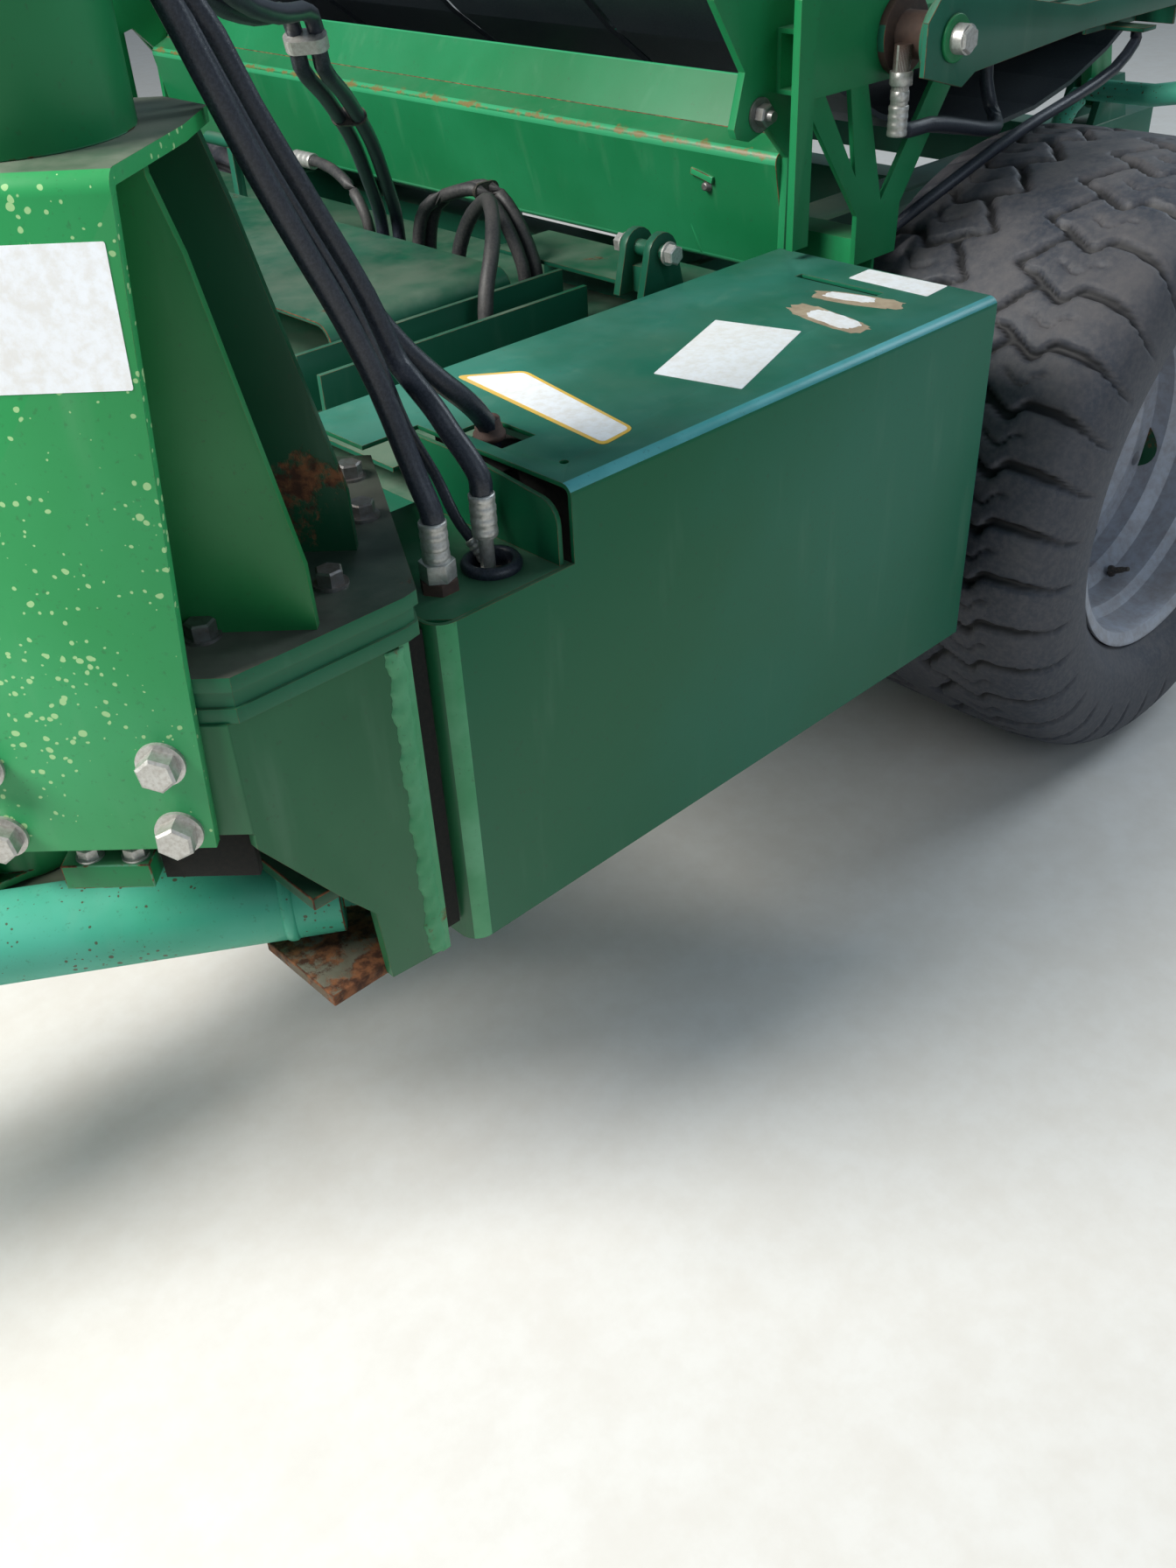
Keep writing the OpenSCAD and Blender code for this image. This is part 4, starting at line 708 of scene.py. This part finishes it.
def bolt_tree():
    tree = bpy.data.node_groups.new("hex_bolts", "GeometryNodeTree")
    for title, way, kind in (("Points", "INPUT", "Geometry"), ("Washer", "INPUT", "Float"),
                             ("Stub", "INPUT", "Float"), ("Seed", "INPUT", "Int"),
                             ("Finish", "INPUT", "Material"), ("Bolts", "OUTPUT", "Geometry")):
        tree.interface.new_socket(title, in_out=way, socket_type="NodeSocket" + kind)
    given = tree.nodes.new("NodeGroupInput").outputs
    result = tree.nodes.new("NodeGroupOutput")

    def column(sides, foot, head, depth, low):
        cone = put(tree, "GeometryNodeMeshCone", {
            "Vertices": sides, "Radius Top": head, "Radius Bottom": foot, "Depth": depth})
        lift = put(tree, "ShaderNodeCombineXYZ", {"Z": low})
        return put(tree, "GeometryNodeTransform", {
            "Geometry": cone.outputs["Mesh"], "Translation": lift.outputs[0]}).outputs[0]

    washer = column(32, given["Washer"], given["Washer"], WASHER_THICK, 0.0)
    head = column(6, CORNER, CORNER, HEAD_HIGH, WASHER_THICK)
    chamfer = column(6, CORNER, CHAMFERED, CHAMFER_HIGH, WASHER_THICK + HEAD_HIGH)
    stub = column(20, STUB_FOOT, STUB_TOP, given["Stub"], STUB_FROM)
    whole = put(tree, "GeometryNodeJoinGeometry")
    for part in (stub, chamfer, head, washer):
        wire(tree, whole, {0: part})
    cloud = put(tree, "GeometryNodeMeshToPoints", {"Mesh": given["Points"]})
    facing = put(tree, "GeometryNodeInputNamedAttribute", {"Name": "facing"}, data_type="FLOAT_VECTOR")
    size = put(tree, "GeometryNodeInputNamedAttribute", {"Name": "across_flats"}, data_type="FLOAT")
    aim = put(tree, "FunctionNodeAlignRotationToVector", {"Vector": facing.outputs["Attribute"]}, axis="Z")
    # the third input is the highest value and the second output is the number
    luck = put(tree, "FunctionNodeRandomValue", {"Seed": given["Seed"], 3: SIXTH_TURN}, data_type="FLOAT")
    twist = put(tree, "FunctionNodeAxisAngleToRotation", {"Angle": luck.outputs[1]})
    turned = put(tree, "FunctionNodeRotateRotation", {0: aim.outputs[0], 1: twist.outputs[0]},
                 rotation_space="LOCAL")
    placed = put(tree, "GeometryNodeInstanceOnPoints", {
        "Points": cloud.outputs[0], "Instance": whole.outputs[0], "Rotation": turned.outputs[0],
        "Scale": size.outputs["Attribute"]})
    real = put(tree, "GeometryNodeRealizeInstances", {"Geometry": placed.outputs[0]})
    finished = put(tree, "GeometryNodeSetMaterial", {
        "Geometry": real.outputs[0], "Material": given["Finish"]})
    wire(tree, result, {0: finished.outputs[0]})
    return tree


hex_bolts = bolt_tree()
socket_of = {item.name: item.identifier for item in hex_bolts.interface.items_tree if item.in_out == "INPUT"}
print("bolt tree inputs:", ", ".join(socket_of))


# %% One set of bolts
def bolts(name, body, finish, washer, stub, seed, rows):
    """Rows are a place in metres, the way the bolt faces and its size across flats in millimetres."""
    cloud = bpy.data.meshes.new(name)
    cloud.from_pydata([tuple(place) for place, facing, size in rows], [], [])
    cloud.attributes.new("facing", "FLOAT_VECTOR", "POINT").data.foreach_set(
        "vector", [value for place, facing, size in rows for value in facing])
    cloud.attributes.new("across_flats", "FLOAT", "POINT").data.foreach_set(
        "value", [size * MM for place, facing, size in rows])
    carrier = into_scene(name, cloud)
    modifier = carrier.modifiers.new("bolts", "NODES")
    modifier.node_group = hex_bolts
    for title, value in (("Washer", washer), ("Stub", stub), ("Seed", seed), ("Finish", finish)):
        modifier[socket_of[title]] = value
    mesh = bpy.data.meshes.new_from_object(carrier.evaluated_get(bpy.context.evaluated_depsgraph_get()))
    mesh.name = name
    bpy.data.objects.remove(carrier)
    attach(into_scene(name, mesh), body)
    print(name + ":", len(rows), "bolts,", len(mesh.polygons), "faces")


print("bolts are placed by the row")

# %% [markdown]
# ## Where the bolts sit
# The pedestal stands turned by an eighth of a turn, so its bolts are placed in its own directions: out
# through its front plate, across it and up. All other places are the machine's own.

# %% Place the bolts
PEDESTAL_TURN = Matrix.Rotation(math.radians(45), 4, "Z")
PEDESTAL = Matrix.Translation((1.730, 1.100, 0)) @ PEDESTAL_TURN
PLATE_OUT, PLATE_THICK = 133, 16
UP, FRONT, LEFT, RIGHT = (0, 0, 1), (1, 0, 0), (0, 1, 0), (0, -1, 0)
PLATE_WAY = tuple(PEDESTAL.to_3x3() @ Vector(FRONT))
WASHER, SHORT_STUB = 0.70, 0.01


def at(x, y, z):
    return Vector((x * MM, y * MM, z * MM))


def by_pedestal(out, across, height):
    """A place in millimetres out from the mast's axis, across the front plate and above the ground."""
    return PEDESTAL @ at(out, across, height)


def on_plate(across, height, off=0.0):
    return by_pedestal(PLATE_OUT + off, across, height)


# columns: name, body, finish, washer's radius and stub's length as parts of the size, seed, rows
BOLTS = [
    ("pedestal_plate_bolts", "chassis", zinc, WASHER, SHORT_STUB, 3,
     [(on_plate(y, z), PLATE_WAY, 32) for y in (43, -120) for z in (816, 740)]),
    ("pedestal_foot_bolts", "chassis", worn_steel, WASHER, SHORT_STUB, 5,
     [(at(x, y, 894), UP, 25) for x, y in ((1711, 1188), (1575, 1194), (1416, 1006), (1466, 1097),
                                           (1640, 830), (1815, 905))]),
    ("foot_bracket_bolts", "chassis", zinc, WASHER, SHORT_STUB, 14,
     [(by_pedestal(104, y, 690), UP, 19) for y in (-62, -18)]),
    ("trough_bolts", "table", worn_steel, 0.85, 0.35, 8,
     [(at(604, side * 884.5, 1109), (0, side, 0), 26) for side in (1, -1)]),
    ("film_cutter_bolts", "table", zinc, 0.60, SHORT_STUB, 9,
     [(at(390, side * 1046, 1185), (0, side, 0), 32) for side in (1, -1)]),
    ("deck_lug_bolts", "chassis", zinc, 0.66, SHORT_STUB, 11,
     [(at(758, 858, 956), LEFT, 24), (at(758, 778, 956), RIGHT, 24)]),
    ("right_cover_bolts", "chassis", worn_steel, WASHER, SHORT_STUB, 12,
     [(at(x, y, 926), UP, 13) for x in (700, 1150) for y in (-930, -1225)]),
]
for row in BOLTS:
    bolts(*row)

# %% [markdown]
# ## Second finishes on some nodes
# A few nodes carry more than one finish. The pedestal's front plate is bright. The webs behind it take
# a plainer green, and their far back is painted darker as painted shade, with real rust on it. The base
# plates are dark with dust, damp and rust. The fittings on the bulkhead are bare steel, and its wall
# behind the notch is painted brighter as painted light. The flat bar beside the cover is paler than its
# plate, and the covers' rounded noses take the same pale green as a painted highlight. The covers' tops
# are painted lighter and bluer as a painted reflection of the sky, the fold between top and side carries
# a painted highlight, and the rear lamps are red. Each face takes its finish by where its middle lies.

# %% Second finishes
WEB_FOOT, WEB_TOP = 896, 1286
SHELF_LOW, SHELF_TOP = 830, 840.5
# places of the two hose sleeves on the bulkhead, and of the hose on a film cutter
SLEEVE, THIN_SLEEVE, CUTTER_HOSE = (1451, 1195), (1388, 1197), (426, 985)
to_pedestal = PEDESTAL.inverted()


def behind(place, out):
    return (to_pedestal @ (place * MM)).x < out * MM


def on_web(place, out):
    return WEB_FOOT < place.z < WEB_TOP and behind(place, out)


def near(place, axis, reach):
    return math.hypot(place.x - axis[0], abs(place.y) - axis[1]) < reach


def on_sleeves(place):
    return (place.z > SHELF_TOP and near(place, SLEEVE, 28)) or (
        near(place, THIN_SLEEVE, 17) and not SHELF_LOW < place.z < SHELF_TOP)


def on_cutter_steel(place):
    return abs(place.y) > 1041 and 360 < place.x < 420 or near(place, CUTTER_HOSE, 14) and place.z < 1150


# columns: nodes, finish, the test of a face's middle in millimetres
SECOND_FINISHES = [
    ("mast_pedestal", web_green, lambda p: on_web(p, PLATE_OUT - PLATE_THICK)),
    # the far back of the webs is painted darker as painted shade, with real rust on it
    ("mast_pedestal", dark_green, lambda p: on_web(p, -80)),
    ("mast_pedestal", cover_green, lambda p: SHELF_LOW < p.z < 893.5),
    ("mast_pedestal", sooty_green, lambda p: 893.5 < p.z < 895),
    ("mast_pedestal", dusty_green, lambda p: p.z > 1302.5),
    # the bulkhead's wall behind the notch is painted brighter as painted light, where it is lit
    ("hose_bulkhead", bright_green, lambda p: p.x < 1330),
    ("hose_bulkhead", zinc, on_sleeves),
    ("hose_bulkhead", rust_steel, lambda p: SHELF_TOP < p.z < 853 and near(p, SLEEVE, 28)),
    ("front_corner", strip_green, lambda p: p.x < 1556 and p.y > 1247),
    ("front_corner", rusty_green, lambda p: p.z < 640 and p.y < 960),
    ("swing_ears", dark_green, lambda p: p.z > 560),
    ("light_bar", lamp_red, lambda p: p.x < -1156),
    # the covers' tops take the painted reflection of the sky
    (COVERS, top_sky_sheen_green, lambda p: p.z > 925),
    # the fold between the covers' tops and sides takes the painted highlight
    (COVERS, fold_highlight_green, lambda p: 917 < p.z < 925.9 and abs(p.y) > 1246),
    # the covers' rounded noses take the pale strip green as a painted highlight where they catch light
    (COVERS, strip_green, lambda p: p.x > 1484 and abs(p.y) > 1251),
    (COVERS, corner_green, lambda p: p.x > 1484 and abs(p.y) < 1251),
    (CUTTERS, rust_steel, lambda p: 340 < p.x < 440 and 1130 < p.z < 1240 and abs(p.y) < 1019),
    (CUTTERS, zinc, on_cutter_steel),
]
for names, finish, chosen in SECOND_FINISHES:
    for node_name in names.split():
        mesh = bpy.data.objects[node_name + "_dressed"].data
        mesh.materials.append(finish)
        faces = [face for face in mesh.polygons if chosen(face.center / MM)]
        for face in faces:
            face.material_index = len(mesh.materials) - 1
        print(node_name, "has", len(faces), "faces in", finish.name)

# %% [markdown]
# ## Blank labels
# The labels are bare. Each one is a thin sheet with rounded corners, laid on its steel with a fraction
# of a millimetre of thickness. Two of them are half worn away, so their outlines are ragged.

# %% Label maker
def rounded_outline(corners, radius, steps=5):
    points = []
    for i, corner in enumerate(corners):
        before = (corners[i - 1] - corner).normalized()
        after = (corners[(i + 1) % len(corners)] - corner).normalized()
        start, end = corner + before * radius, corner + after * radius
        for k in range(steps + 1):
            t = k / steps
            points.append(start.lerp(corner, t).lerp(corner.lerp(end, t), t))
    return points


def sheet_piece(name, body, outline, lift, material):
    """A flat piece with this outline, as thick as lift is long."""
    shape = bmesh.new()
    face = shape.faces.new([shape.verts.new(point) for point in outline])
    face.normal_update()
    if face.normal.dot(lift) < 0:
        face.normal_flip()
    grown = bmesh.ops.extrude_face_region(shape, geom=[face])["geom"]
    bmesh.ops.translate(shape, verts=[v for v in grown if isinstance(v, bmesh.types.BMVert)], vec=lift)
    bmesh.ops.recalc_face_normals(shape, faces=shape.faces)
    piece_from(shape, name, body, material)


print("label maker ready")

# %% Whole labels
COVER_TOP, OFF_PAINT = 926.0, 0.1
LABEL_THICK = 0.0004
# columns: name, step up, corner radius, finish, corners on the cover's top, in millimetres
COVER_LABELS = [
    ("square_label", 0.0, 2, label_white, [(1045, 1106), (858, 1035), (824, 1147), (1017, 1218)]),
    ("corner_label", 0.0, 3, label_white, [(617, 1060), (569, 1058), (566, 1184), (618, 1188)]),
    ("long_label", 0.0, 12, label_yellow, [(1200, 928), (1135, 980), (1177, 1205), (1232, 1213)]),
    ("long_label_face", 0.3, 8, label_white, [(1195, 940), (1141, 984), (1181, 1201), (1226, 1206)]),
]
for name, step, radius, finish, corners in COVER_LABELS:
    outline = rounded_outline([at(x, y, COVER_TOP + OFF_PAINT + step) for x, y in corners], radius * MM)
    sheet_piece(name, "chassis", outline, Vector(UP) * LABEL_THICK, finish)
plate_corners = [on_plate(y, z, OFF_PAINT) for y, z in ((104, 1258), (99, 1152), (-70, 1152), (-70, 1258))]
sheet_piece("plate_label", "chassis", rounded_outline(plate_corners, 2 * MM), Vector(PLATE_WAY) * LABEL_THICK,
            label_white)
print(len(COVER_LABELS) + 1, "blank labels")

# %% Worn labels
chance = random.Random(7)
JITTER, RAGGED_POINTS = 0.16, 40
SQUARENESS = 0.6


def ragged_outline(middle, length, width, turn, height):
    points = []
    for k in range(RAGGED_POINTS):
        a = 2 * math.pi * k / RAGGED_POINTS
        swell = 1 + JITTER * (chance.random() - 0.5)
        x = math.copysign(abs(math.cos(a)) ** SQUARENESS, math.cos(a)) * length / 2 * swell
        y = math.copysign(abs(math.sin(a)) ** SQUARENESS, math.sin(a)) * width / 2 * swell
        points.append(at(middle[0] + x * math.cos(turn) - y * math.sin(turn),
                         middle[1] + x * math.sin(turn) + y * math.cos(turn), height))
    return points


# columns: name, middle, length, width, turn in degrees, finish, step up
WORN_LABELS = [
    ("worn_label_front", (765, 1142), 134, 44, 80, label_worn, 0.0),
    ("worn_label_front_paper", (764, 1150), 82, 34, 80, label_white, 0.3),
    ("worn_label_rear", (684, 1126), 128, 40, 103, label_worn, 0.0),
    ("worn_label_rear_paper", (682, 1112), 70, 26, 103, label_white, 0.3),
]
for name, middle, length, width, turn, finish, step in WORN_LABELS:
    outline = ragged_outline(middle, length, width, math.radians(turn), COVER_TOP + OFF_PAINT + step)
    sheet_piece(name, "chassis", outline, Vector((0, 0, 0.0003)), finish)
print(len(WORN_LABELS), "worn sheets")

# %% [markdown]
# ## Hose fittings and ties
# Crimped ferrules, nuts and black ties sit on the hoses. Each is a turned shape: a list of radii and
# distances is turned round its own axis, and the axis follows the hose.

# %% Turned pieces
CREASE = math.radians(35)


def turned_piece(name, body, start, way, outline, material, sides=40, hollow=False):
    """Turn an outline of (distance, radius) pairs in millimetres round an axis from start."""
    way = Vector(way).normalized()
    across = way.orthogonal().normalized()
    along = way.cross(across)
    shape = bmesh.new()
    angles = [2 * math.pi * k / sides for k in range(sides)]
    rings = []
    for distance, radius in outline:
        foot = start + way * distance * MM
        rings.append([shape.verts.new(foot + (across * math.cos(a) + along * math.sin(a)) * radius * MM)
                      for a in angles])
    if hollow:
        rings.append(rings[0])
    for low, high in zip(rings, rings[1:]):
        for k in range(sides):
            ahead = (k + 1) % sides
            shape.faces.new((low[k], low[ahead], high[ahead], high[k])).smooth = True
    if not hollow:
        shape.faces.new(rings[0][::-1])
        shape.faces.new(rings[-1])
    for edge in shape.edges:
        edge.smooth = len(edge.link_faces) == 2 and edge.calc_face_angle(0.0) < CREASE
    bmesh.ops.recalc_face_normals(shape, faces=shape.faces)
    piece_from(shape, name, body, material)


print("pieces can be turned")

# %% Ferrules
ROUNDED, CRIMP_DEEP, PLAIN_END = 1.2, 0.5, 4
CRIMPS = 3


def ferrule_outline(radius, length):
    points = [(0, radius - ROUNDED), (1.5, radius), (PLAIN_END, radius)]
    pitch = (length - 2 * PLAIN_END) / CRIMPS
    for k in range(CRIMPS):
        low, dent = PLAIN_END + pitch * k, radius - CRIMP_DEEP
        points += [(low + 0.2 * pitch, radius), (low + 0.3 * pitch, dent), (low + 0.7 * pitch, dent),
                   (low + 0.8 * pitch, radius)]
    return points + [(length - 1.5, radius), (length, radius - ROUNDED)]


# columns: name, body, foot in millimetres, way, radius, length, sides
FERRULES = [
    ("ferrule_a", "chassis", (1451, 1195, 873), UP, 14.4, 42, 40),
    ("ferrule_b", "chassis", (1388, 1197, 877), UP, 13.8, 46, 40),
    ("ferrule_thin", "chassis", (1380, 1184, 842), (0.30, -0.86, 1.2), 8.5, 26, 28),
    ("deck_elbow_sleeve", "chassis", (792, 14, 980), LEFT, 13, 52, 40),
    ("cutter_ferrule_left", "table", (426, 985, 1063), UP, 14, 40, 40),
    ("cutter_ferrule_right", "table", (426, -985, 1063), UP, 14, 40, 40),
]
for name, body, foot, way, radius, length, sides in FERRULES:
    turned_piece(name, body, at(*foot), way, ferrule_outline(radius, length), zinc, sides)
print(len(FERRULES), "ferrules")

# %% Rings, washers and nuts
turned_piece("hose_c_ring", "chassis", at(1282, 1086, 918), (0.05, 0.02, 1),
             [(0, 18), (6, 18), (7, 15.5), (13, 15.5), (14, 14), (22, 13.4), (23, 12.6)], rust_steel)
for side, hand in ((1, "left"), (-1, "right")):
    turned_piece("cutter_washer_" + hand, "table", at(390, side * 1040, 1185), (0, side, 0),
                 [(0, 28), (1, 30), (5, 30), (6, 28)], bright_green)
    for low, height, width in ((1128, 18, 17), (1108, 14, 14)):
        turned_piece("cutter_nut_%s_%d" % (hand, low), "table", at(426, side * 985, low), UP,
                     [(0, width - 1), (1, width), (height - 1, width), (height, width - 1)], zinc, 6)
print("rings, washers and nuts are on")

# %% Ties and clamps
PAIR_STEP = (-19, 16, 0)
HALF_ROUND_STEPS = 12


def band(name, middle, way, across, spacing, radius, width, material):
    """A tie round two hoses, spacing apart from middle to middle, with its flat sides along across."""
    way = Vector(way).normalized()
    across = Vector(across)
    across = (across - way * across.dot(way)).normalized()
    up = way.cross(across)
    outline = []
    for side in (1, -1):
        for k in range(HALF_ROUND_STEPS + 1):
            a = math.pi * k / HALF_ROUND_STEPS - math.pi / 2
            outline.append(middle + (across * side * (spacing / 2 + radius * math.cos(a))
                                     + up * side * radius * math.sin(a)) * MM - way * width / 2 * MM)
    sheet_piece(name, "chassis", outline, way * width * MM, material)


band("pair_tie", at(1035, 540, 1141), (120, 138, 98), PAIR_STEP, 25, 11.6, 6, black_plastic)
band("pair_clamp", at(1193, 705, 1264), (19, 19, 57), PAIR_STEP, 25, 13.0, 16, zinc)
band("loop_tie", at(787, 510, 996), (0, 1, 0.02), (1, 0, 0), 24, 11.6, 6, black_plastic)
print("ties are on")

# %% [markdown]
# ## Small steel parts and shade plates
# A bracket with two bolts hangs under the pedestal's front plate, and the trough has a small latch on
# its face. Dark plates of painted shade close five openings behind which nothing is modelled: under
# the pedestal's plate, beside the cover's nose, behind its notch and under its two slots.

# %% Brackets and shade plates
def block(name, body, place, size, material, round_mm, turn=Matrix()):
    shape = bmesh.new()
    bmesh.ops.create_cube(shape, size=1.0)
    for vert in shape.verts:
        vert.co = Vector([vert.co[i] * size[i] * MM for i in range(3)])
    round_edges(shape, round_mm * MM)
    bmesh.ops.transform(shape, matrix=Matrix.Translation(place) @ turn, verts=shape.verts)
    piece_from(shape, name, body, material)


LATCH_TURN = Matrix.Rotation(math.radians(-12), 4, "X")
# columns: name, body, middle, size in millimetres, finish, edge radius in millimetres, turn
BLOCKS = [
    ("foot_bracket_web", "chassis", by_pedestal(81, -44, 702), (12, 86, 26), bright_green, 1.0,
     PEDESTAL_TURN),
    ("foot_bracket", "chassis", by_pedestal(97, -44, 676), (44, 86, 28), bright_green, 1.5, PEDESTAL_TURN),
    ("latch_handle", "table", at(547, 728, 1000), (6, 44, 10), bright_green, 1.0, LATCH_TURN),
    # the last five are dark sheets of painted shade, set where openings show only shade
    ("hinge_box_plate", "chassis", by_pedestal(95, 50, 691), (12, 92, 64), deep_shade, 1.0, PEDESTAL_TURN),
    ("corner_gap_plate", "chassis", at(1526, 1236, 645), (32, 6, 380), deep_shade, 0.5),
    ("cover_inner_plate", "chassis", at(1298, 1130, 800), (4, 240, 236), deep_shade, 0.5),
    ("rear_slot_liner", "chassis", at(647, 1066, 915), (60, 160, 4), deep_shade, 0.5),
    ("front_slot_liner", "chassis", at(1282, 1098, 905), (70, 96, 4), deep_shade, 0.5),
]
for row in BLOCKS:
    block(*row)
print(len(BLOCKS), "blocks")

# %% [markdown]
# ## Ribs and welds
# The trough has two thin ribs, the swing cylinder a seam round its barrel, and a rough welded strip
# runs down the plate beside the cover. The strip is a grid whose edges and face waver by sines, because
# a weld by hand is uneven but never jagged.

# %% Ribs, latch pin and seam
for name, top, foot in (("rib_outer", (532, 675, 958), (518, 703, 878)),
                        ("rib_inner", (531, 571, 953), (522, 574, 903))):
    start, way = at(*top), at(*foot) - at(*top)
    length = way.length / MM
    turned_piece("trough_" + name, "table", start, way, [(0, 2), (2, 3.5), (length - 2, 3.5), (length, 2)],
                 bright_green, 12)
turned_piece("latch_pin", "table", at(534, 735, 985), FRONT, [(0, 8), (10, 8), (11, 6), (16, 6), (17, 4)],
             worn_steel, 20)
SWING_FOOT, SWING_EYE = Vector((1.555, 1.206, 0.530)), Vector((2.200, 0.785, 0.530))
SEAM_FROM = 0.118
swing_way = (SWING_EYE - SWING_FOOT).normalized()
turned_piece("swing_weld", "swing_barrel", SWING_FOOT + swing_way * SEAM_FROM, swing_way,
             [(0, 50.0), (3, 52.2), (7, 52.6), (11, 52.0), (14, 50.0), (14, 49.5), (0, 49.5)],
             pale_green, 64, True)
print("ribs, latch pin and seam are on")


# %% Welded strip
def rough_strip(name, body, low, high, side_y, rear, front, material):
    """A welded flat strip on a plate that faces +Y, in millimetres, uneven along its edges and face."""
    steps, columns = 110, 6
    thick, sunk, rough = 4.0, 1.0, 0.7
    shape = bmesh.new()
    grid = []
    for i in range(steps + 1):
        z = low + (high - low) * i / steps
        left = rear + 1.0 * math.sin(z * 0.13) + 0.7 * math.sin(z * 0.31 + 2)
        right = front + 1.8 * math.sin(z * 0.09 + 1) + 1.2 * math.sin(z * 0.23) + 0.6 * math.sin(z * 0.57)
        row = []
        for k in range(columns):
            t = k / (columns - 1)
            rise = thick * math.sin(math.pi * t) + rough * math.sin(z * 0.21 + 5 * t) * math.sin(math.pi * t)
            row.append(shape.verts.new(at(left + (right - left) * t, side_y + rise, z)))
        grid.append(row)
    for low_row, high_row in zip(grid, grid[1:]):
        for k in range(columns - 1):
            shape.faces.new((low_row[k], high_row[k], high_row[k + 1], low_row[k + 1])).smooth = True
    back = list(shape.verts)
    bmesh.ops.extrude_face_region(shape, geom=list(shape.faces))
    for vert in back:
        vert.co.y = (side_y - sunk) * MM
    bmesh.ops.recalc_face_normals(shape, faces=shape.faces)
    piece_from(shape, name, body, material)


rough_strip("side_weld_left", "chassis", 456, 842, 1260.2, 1546, 1570, strip_green)
print("welded strip is on")

# %% [markdown]
# ## The wheels' small parts
# Each rim has a rubber valve on its outer well and a rounded patch of old green paint inside it, left
# from when the rim was painted over.

# %% Valve and paint patch
WHEEL_OUT, WELL_RADIUS = 1.100, 229.2
VALVE_ANGLE, PATCH_ANGLE, PATCH_TURN = 256, 197, 9.5
PATCH_OUT, PATCH_HALF, PATCH_POINTS = 32, 26, 28


def rim_parts(name, body, side, turned_by):
    middle = Vector((0, WHEEL_OUT * side, TYRE_RADIUS))

    def on_rim(angle, radius, out):
        """A place on a rim by degrees round it, radius and distance out from its middle in millimetres."""
        a = math.radians(angle + turned_by)
        return middle + Vector((radius * math.cos(a) * MM, out * side * MM, radius * math.sin(a) * MM))

    foot, tip = on_rim(VALVE_ANGLE, 247, 92), on_rim(VALVE_ANGLE, 228, 128)
    turned_piece(name + "_valve", body, foot, tip - foot,
                 [(0, 11), (4, 10), (8, 6), (26, 5.5), (27, 4.2), (38, 4.2), (39, 3)], black_plastic, 24)
    ring = []
    for k in range(PATCH_POINTS):
        t = 2 * math.pi * k / PATCH_POINTS
        swell = 1 + 0.10 * math.sin(3 * t + 1)
        ring.append(on_rim(PATCH_ANGLE + PATCH_TURN * math.sin(t) * swell, WELL_RADIUS,
                           PATCH_OUT + PATCH_HALF * math.cos(t) * swell))
    inward = on_rim(PATCH_ANGLE, WELL_RADIUS - 0.8, PATCH_OUT) - on_rim(PATCH_ANGLE, WELL_RADIUS, PATCH_OUT)
    sheet_piece(name + "_paint_patch", body, ring, inward, dark_green)


rim_parts("left_rim", body_of_node["rim_left"], 1, 0)
rim_parts("right_rim", body_of_node["rim_right"], -1, 35)
print("valves and patches are on")
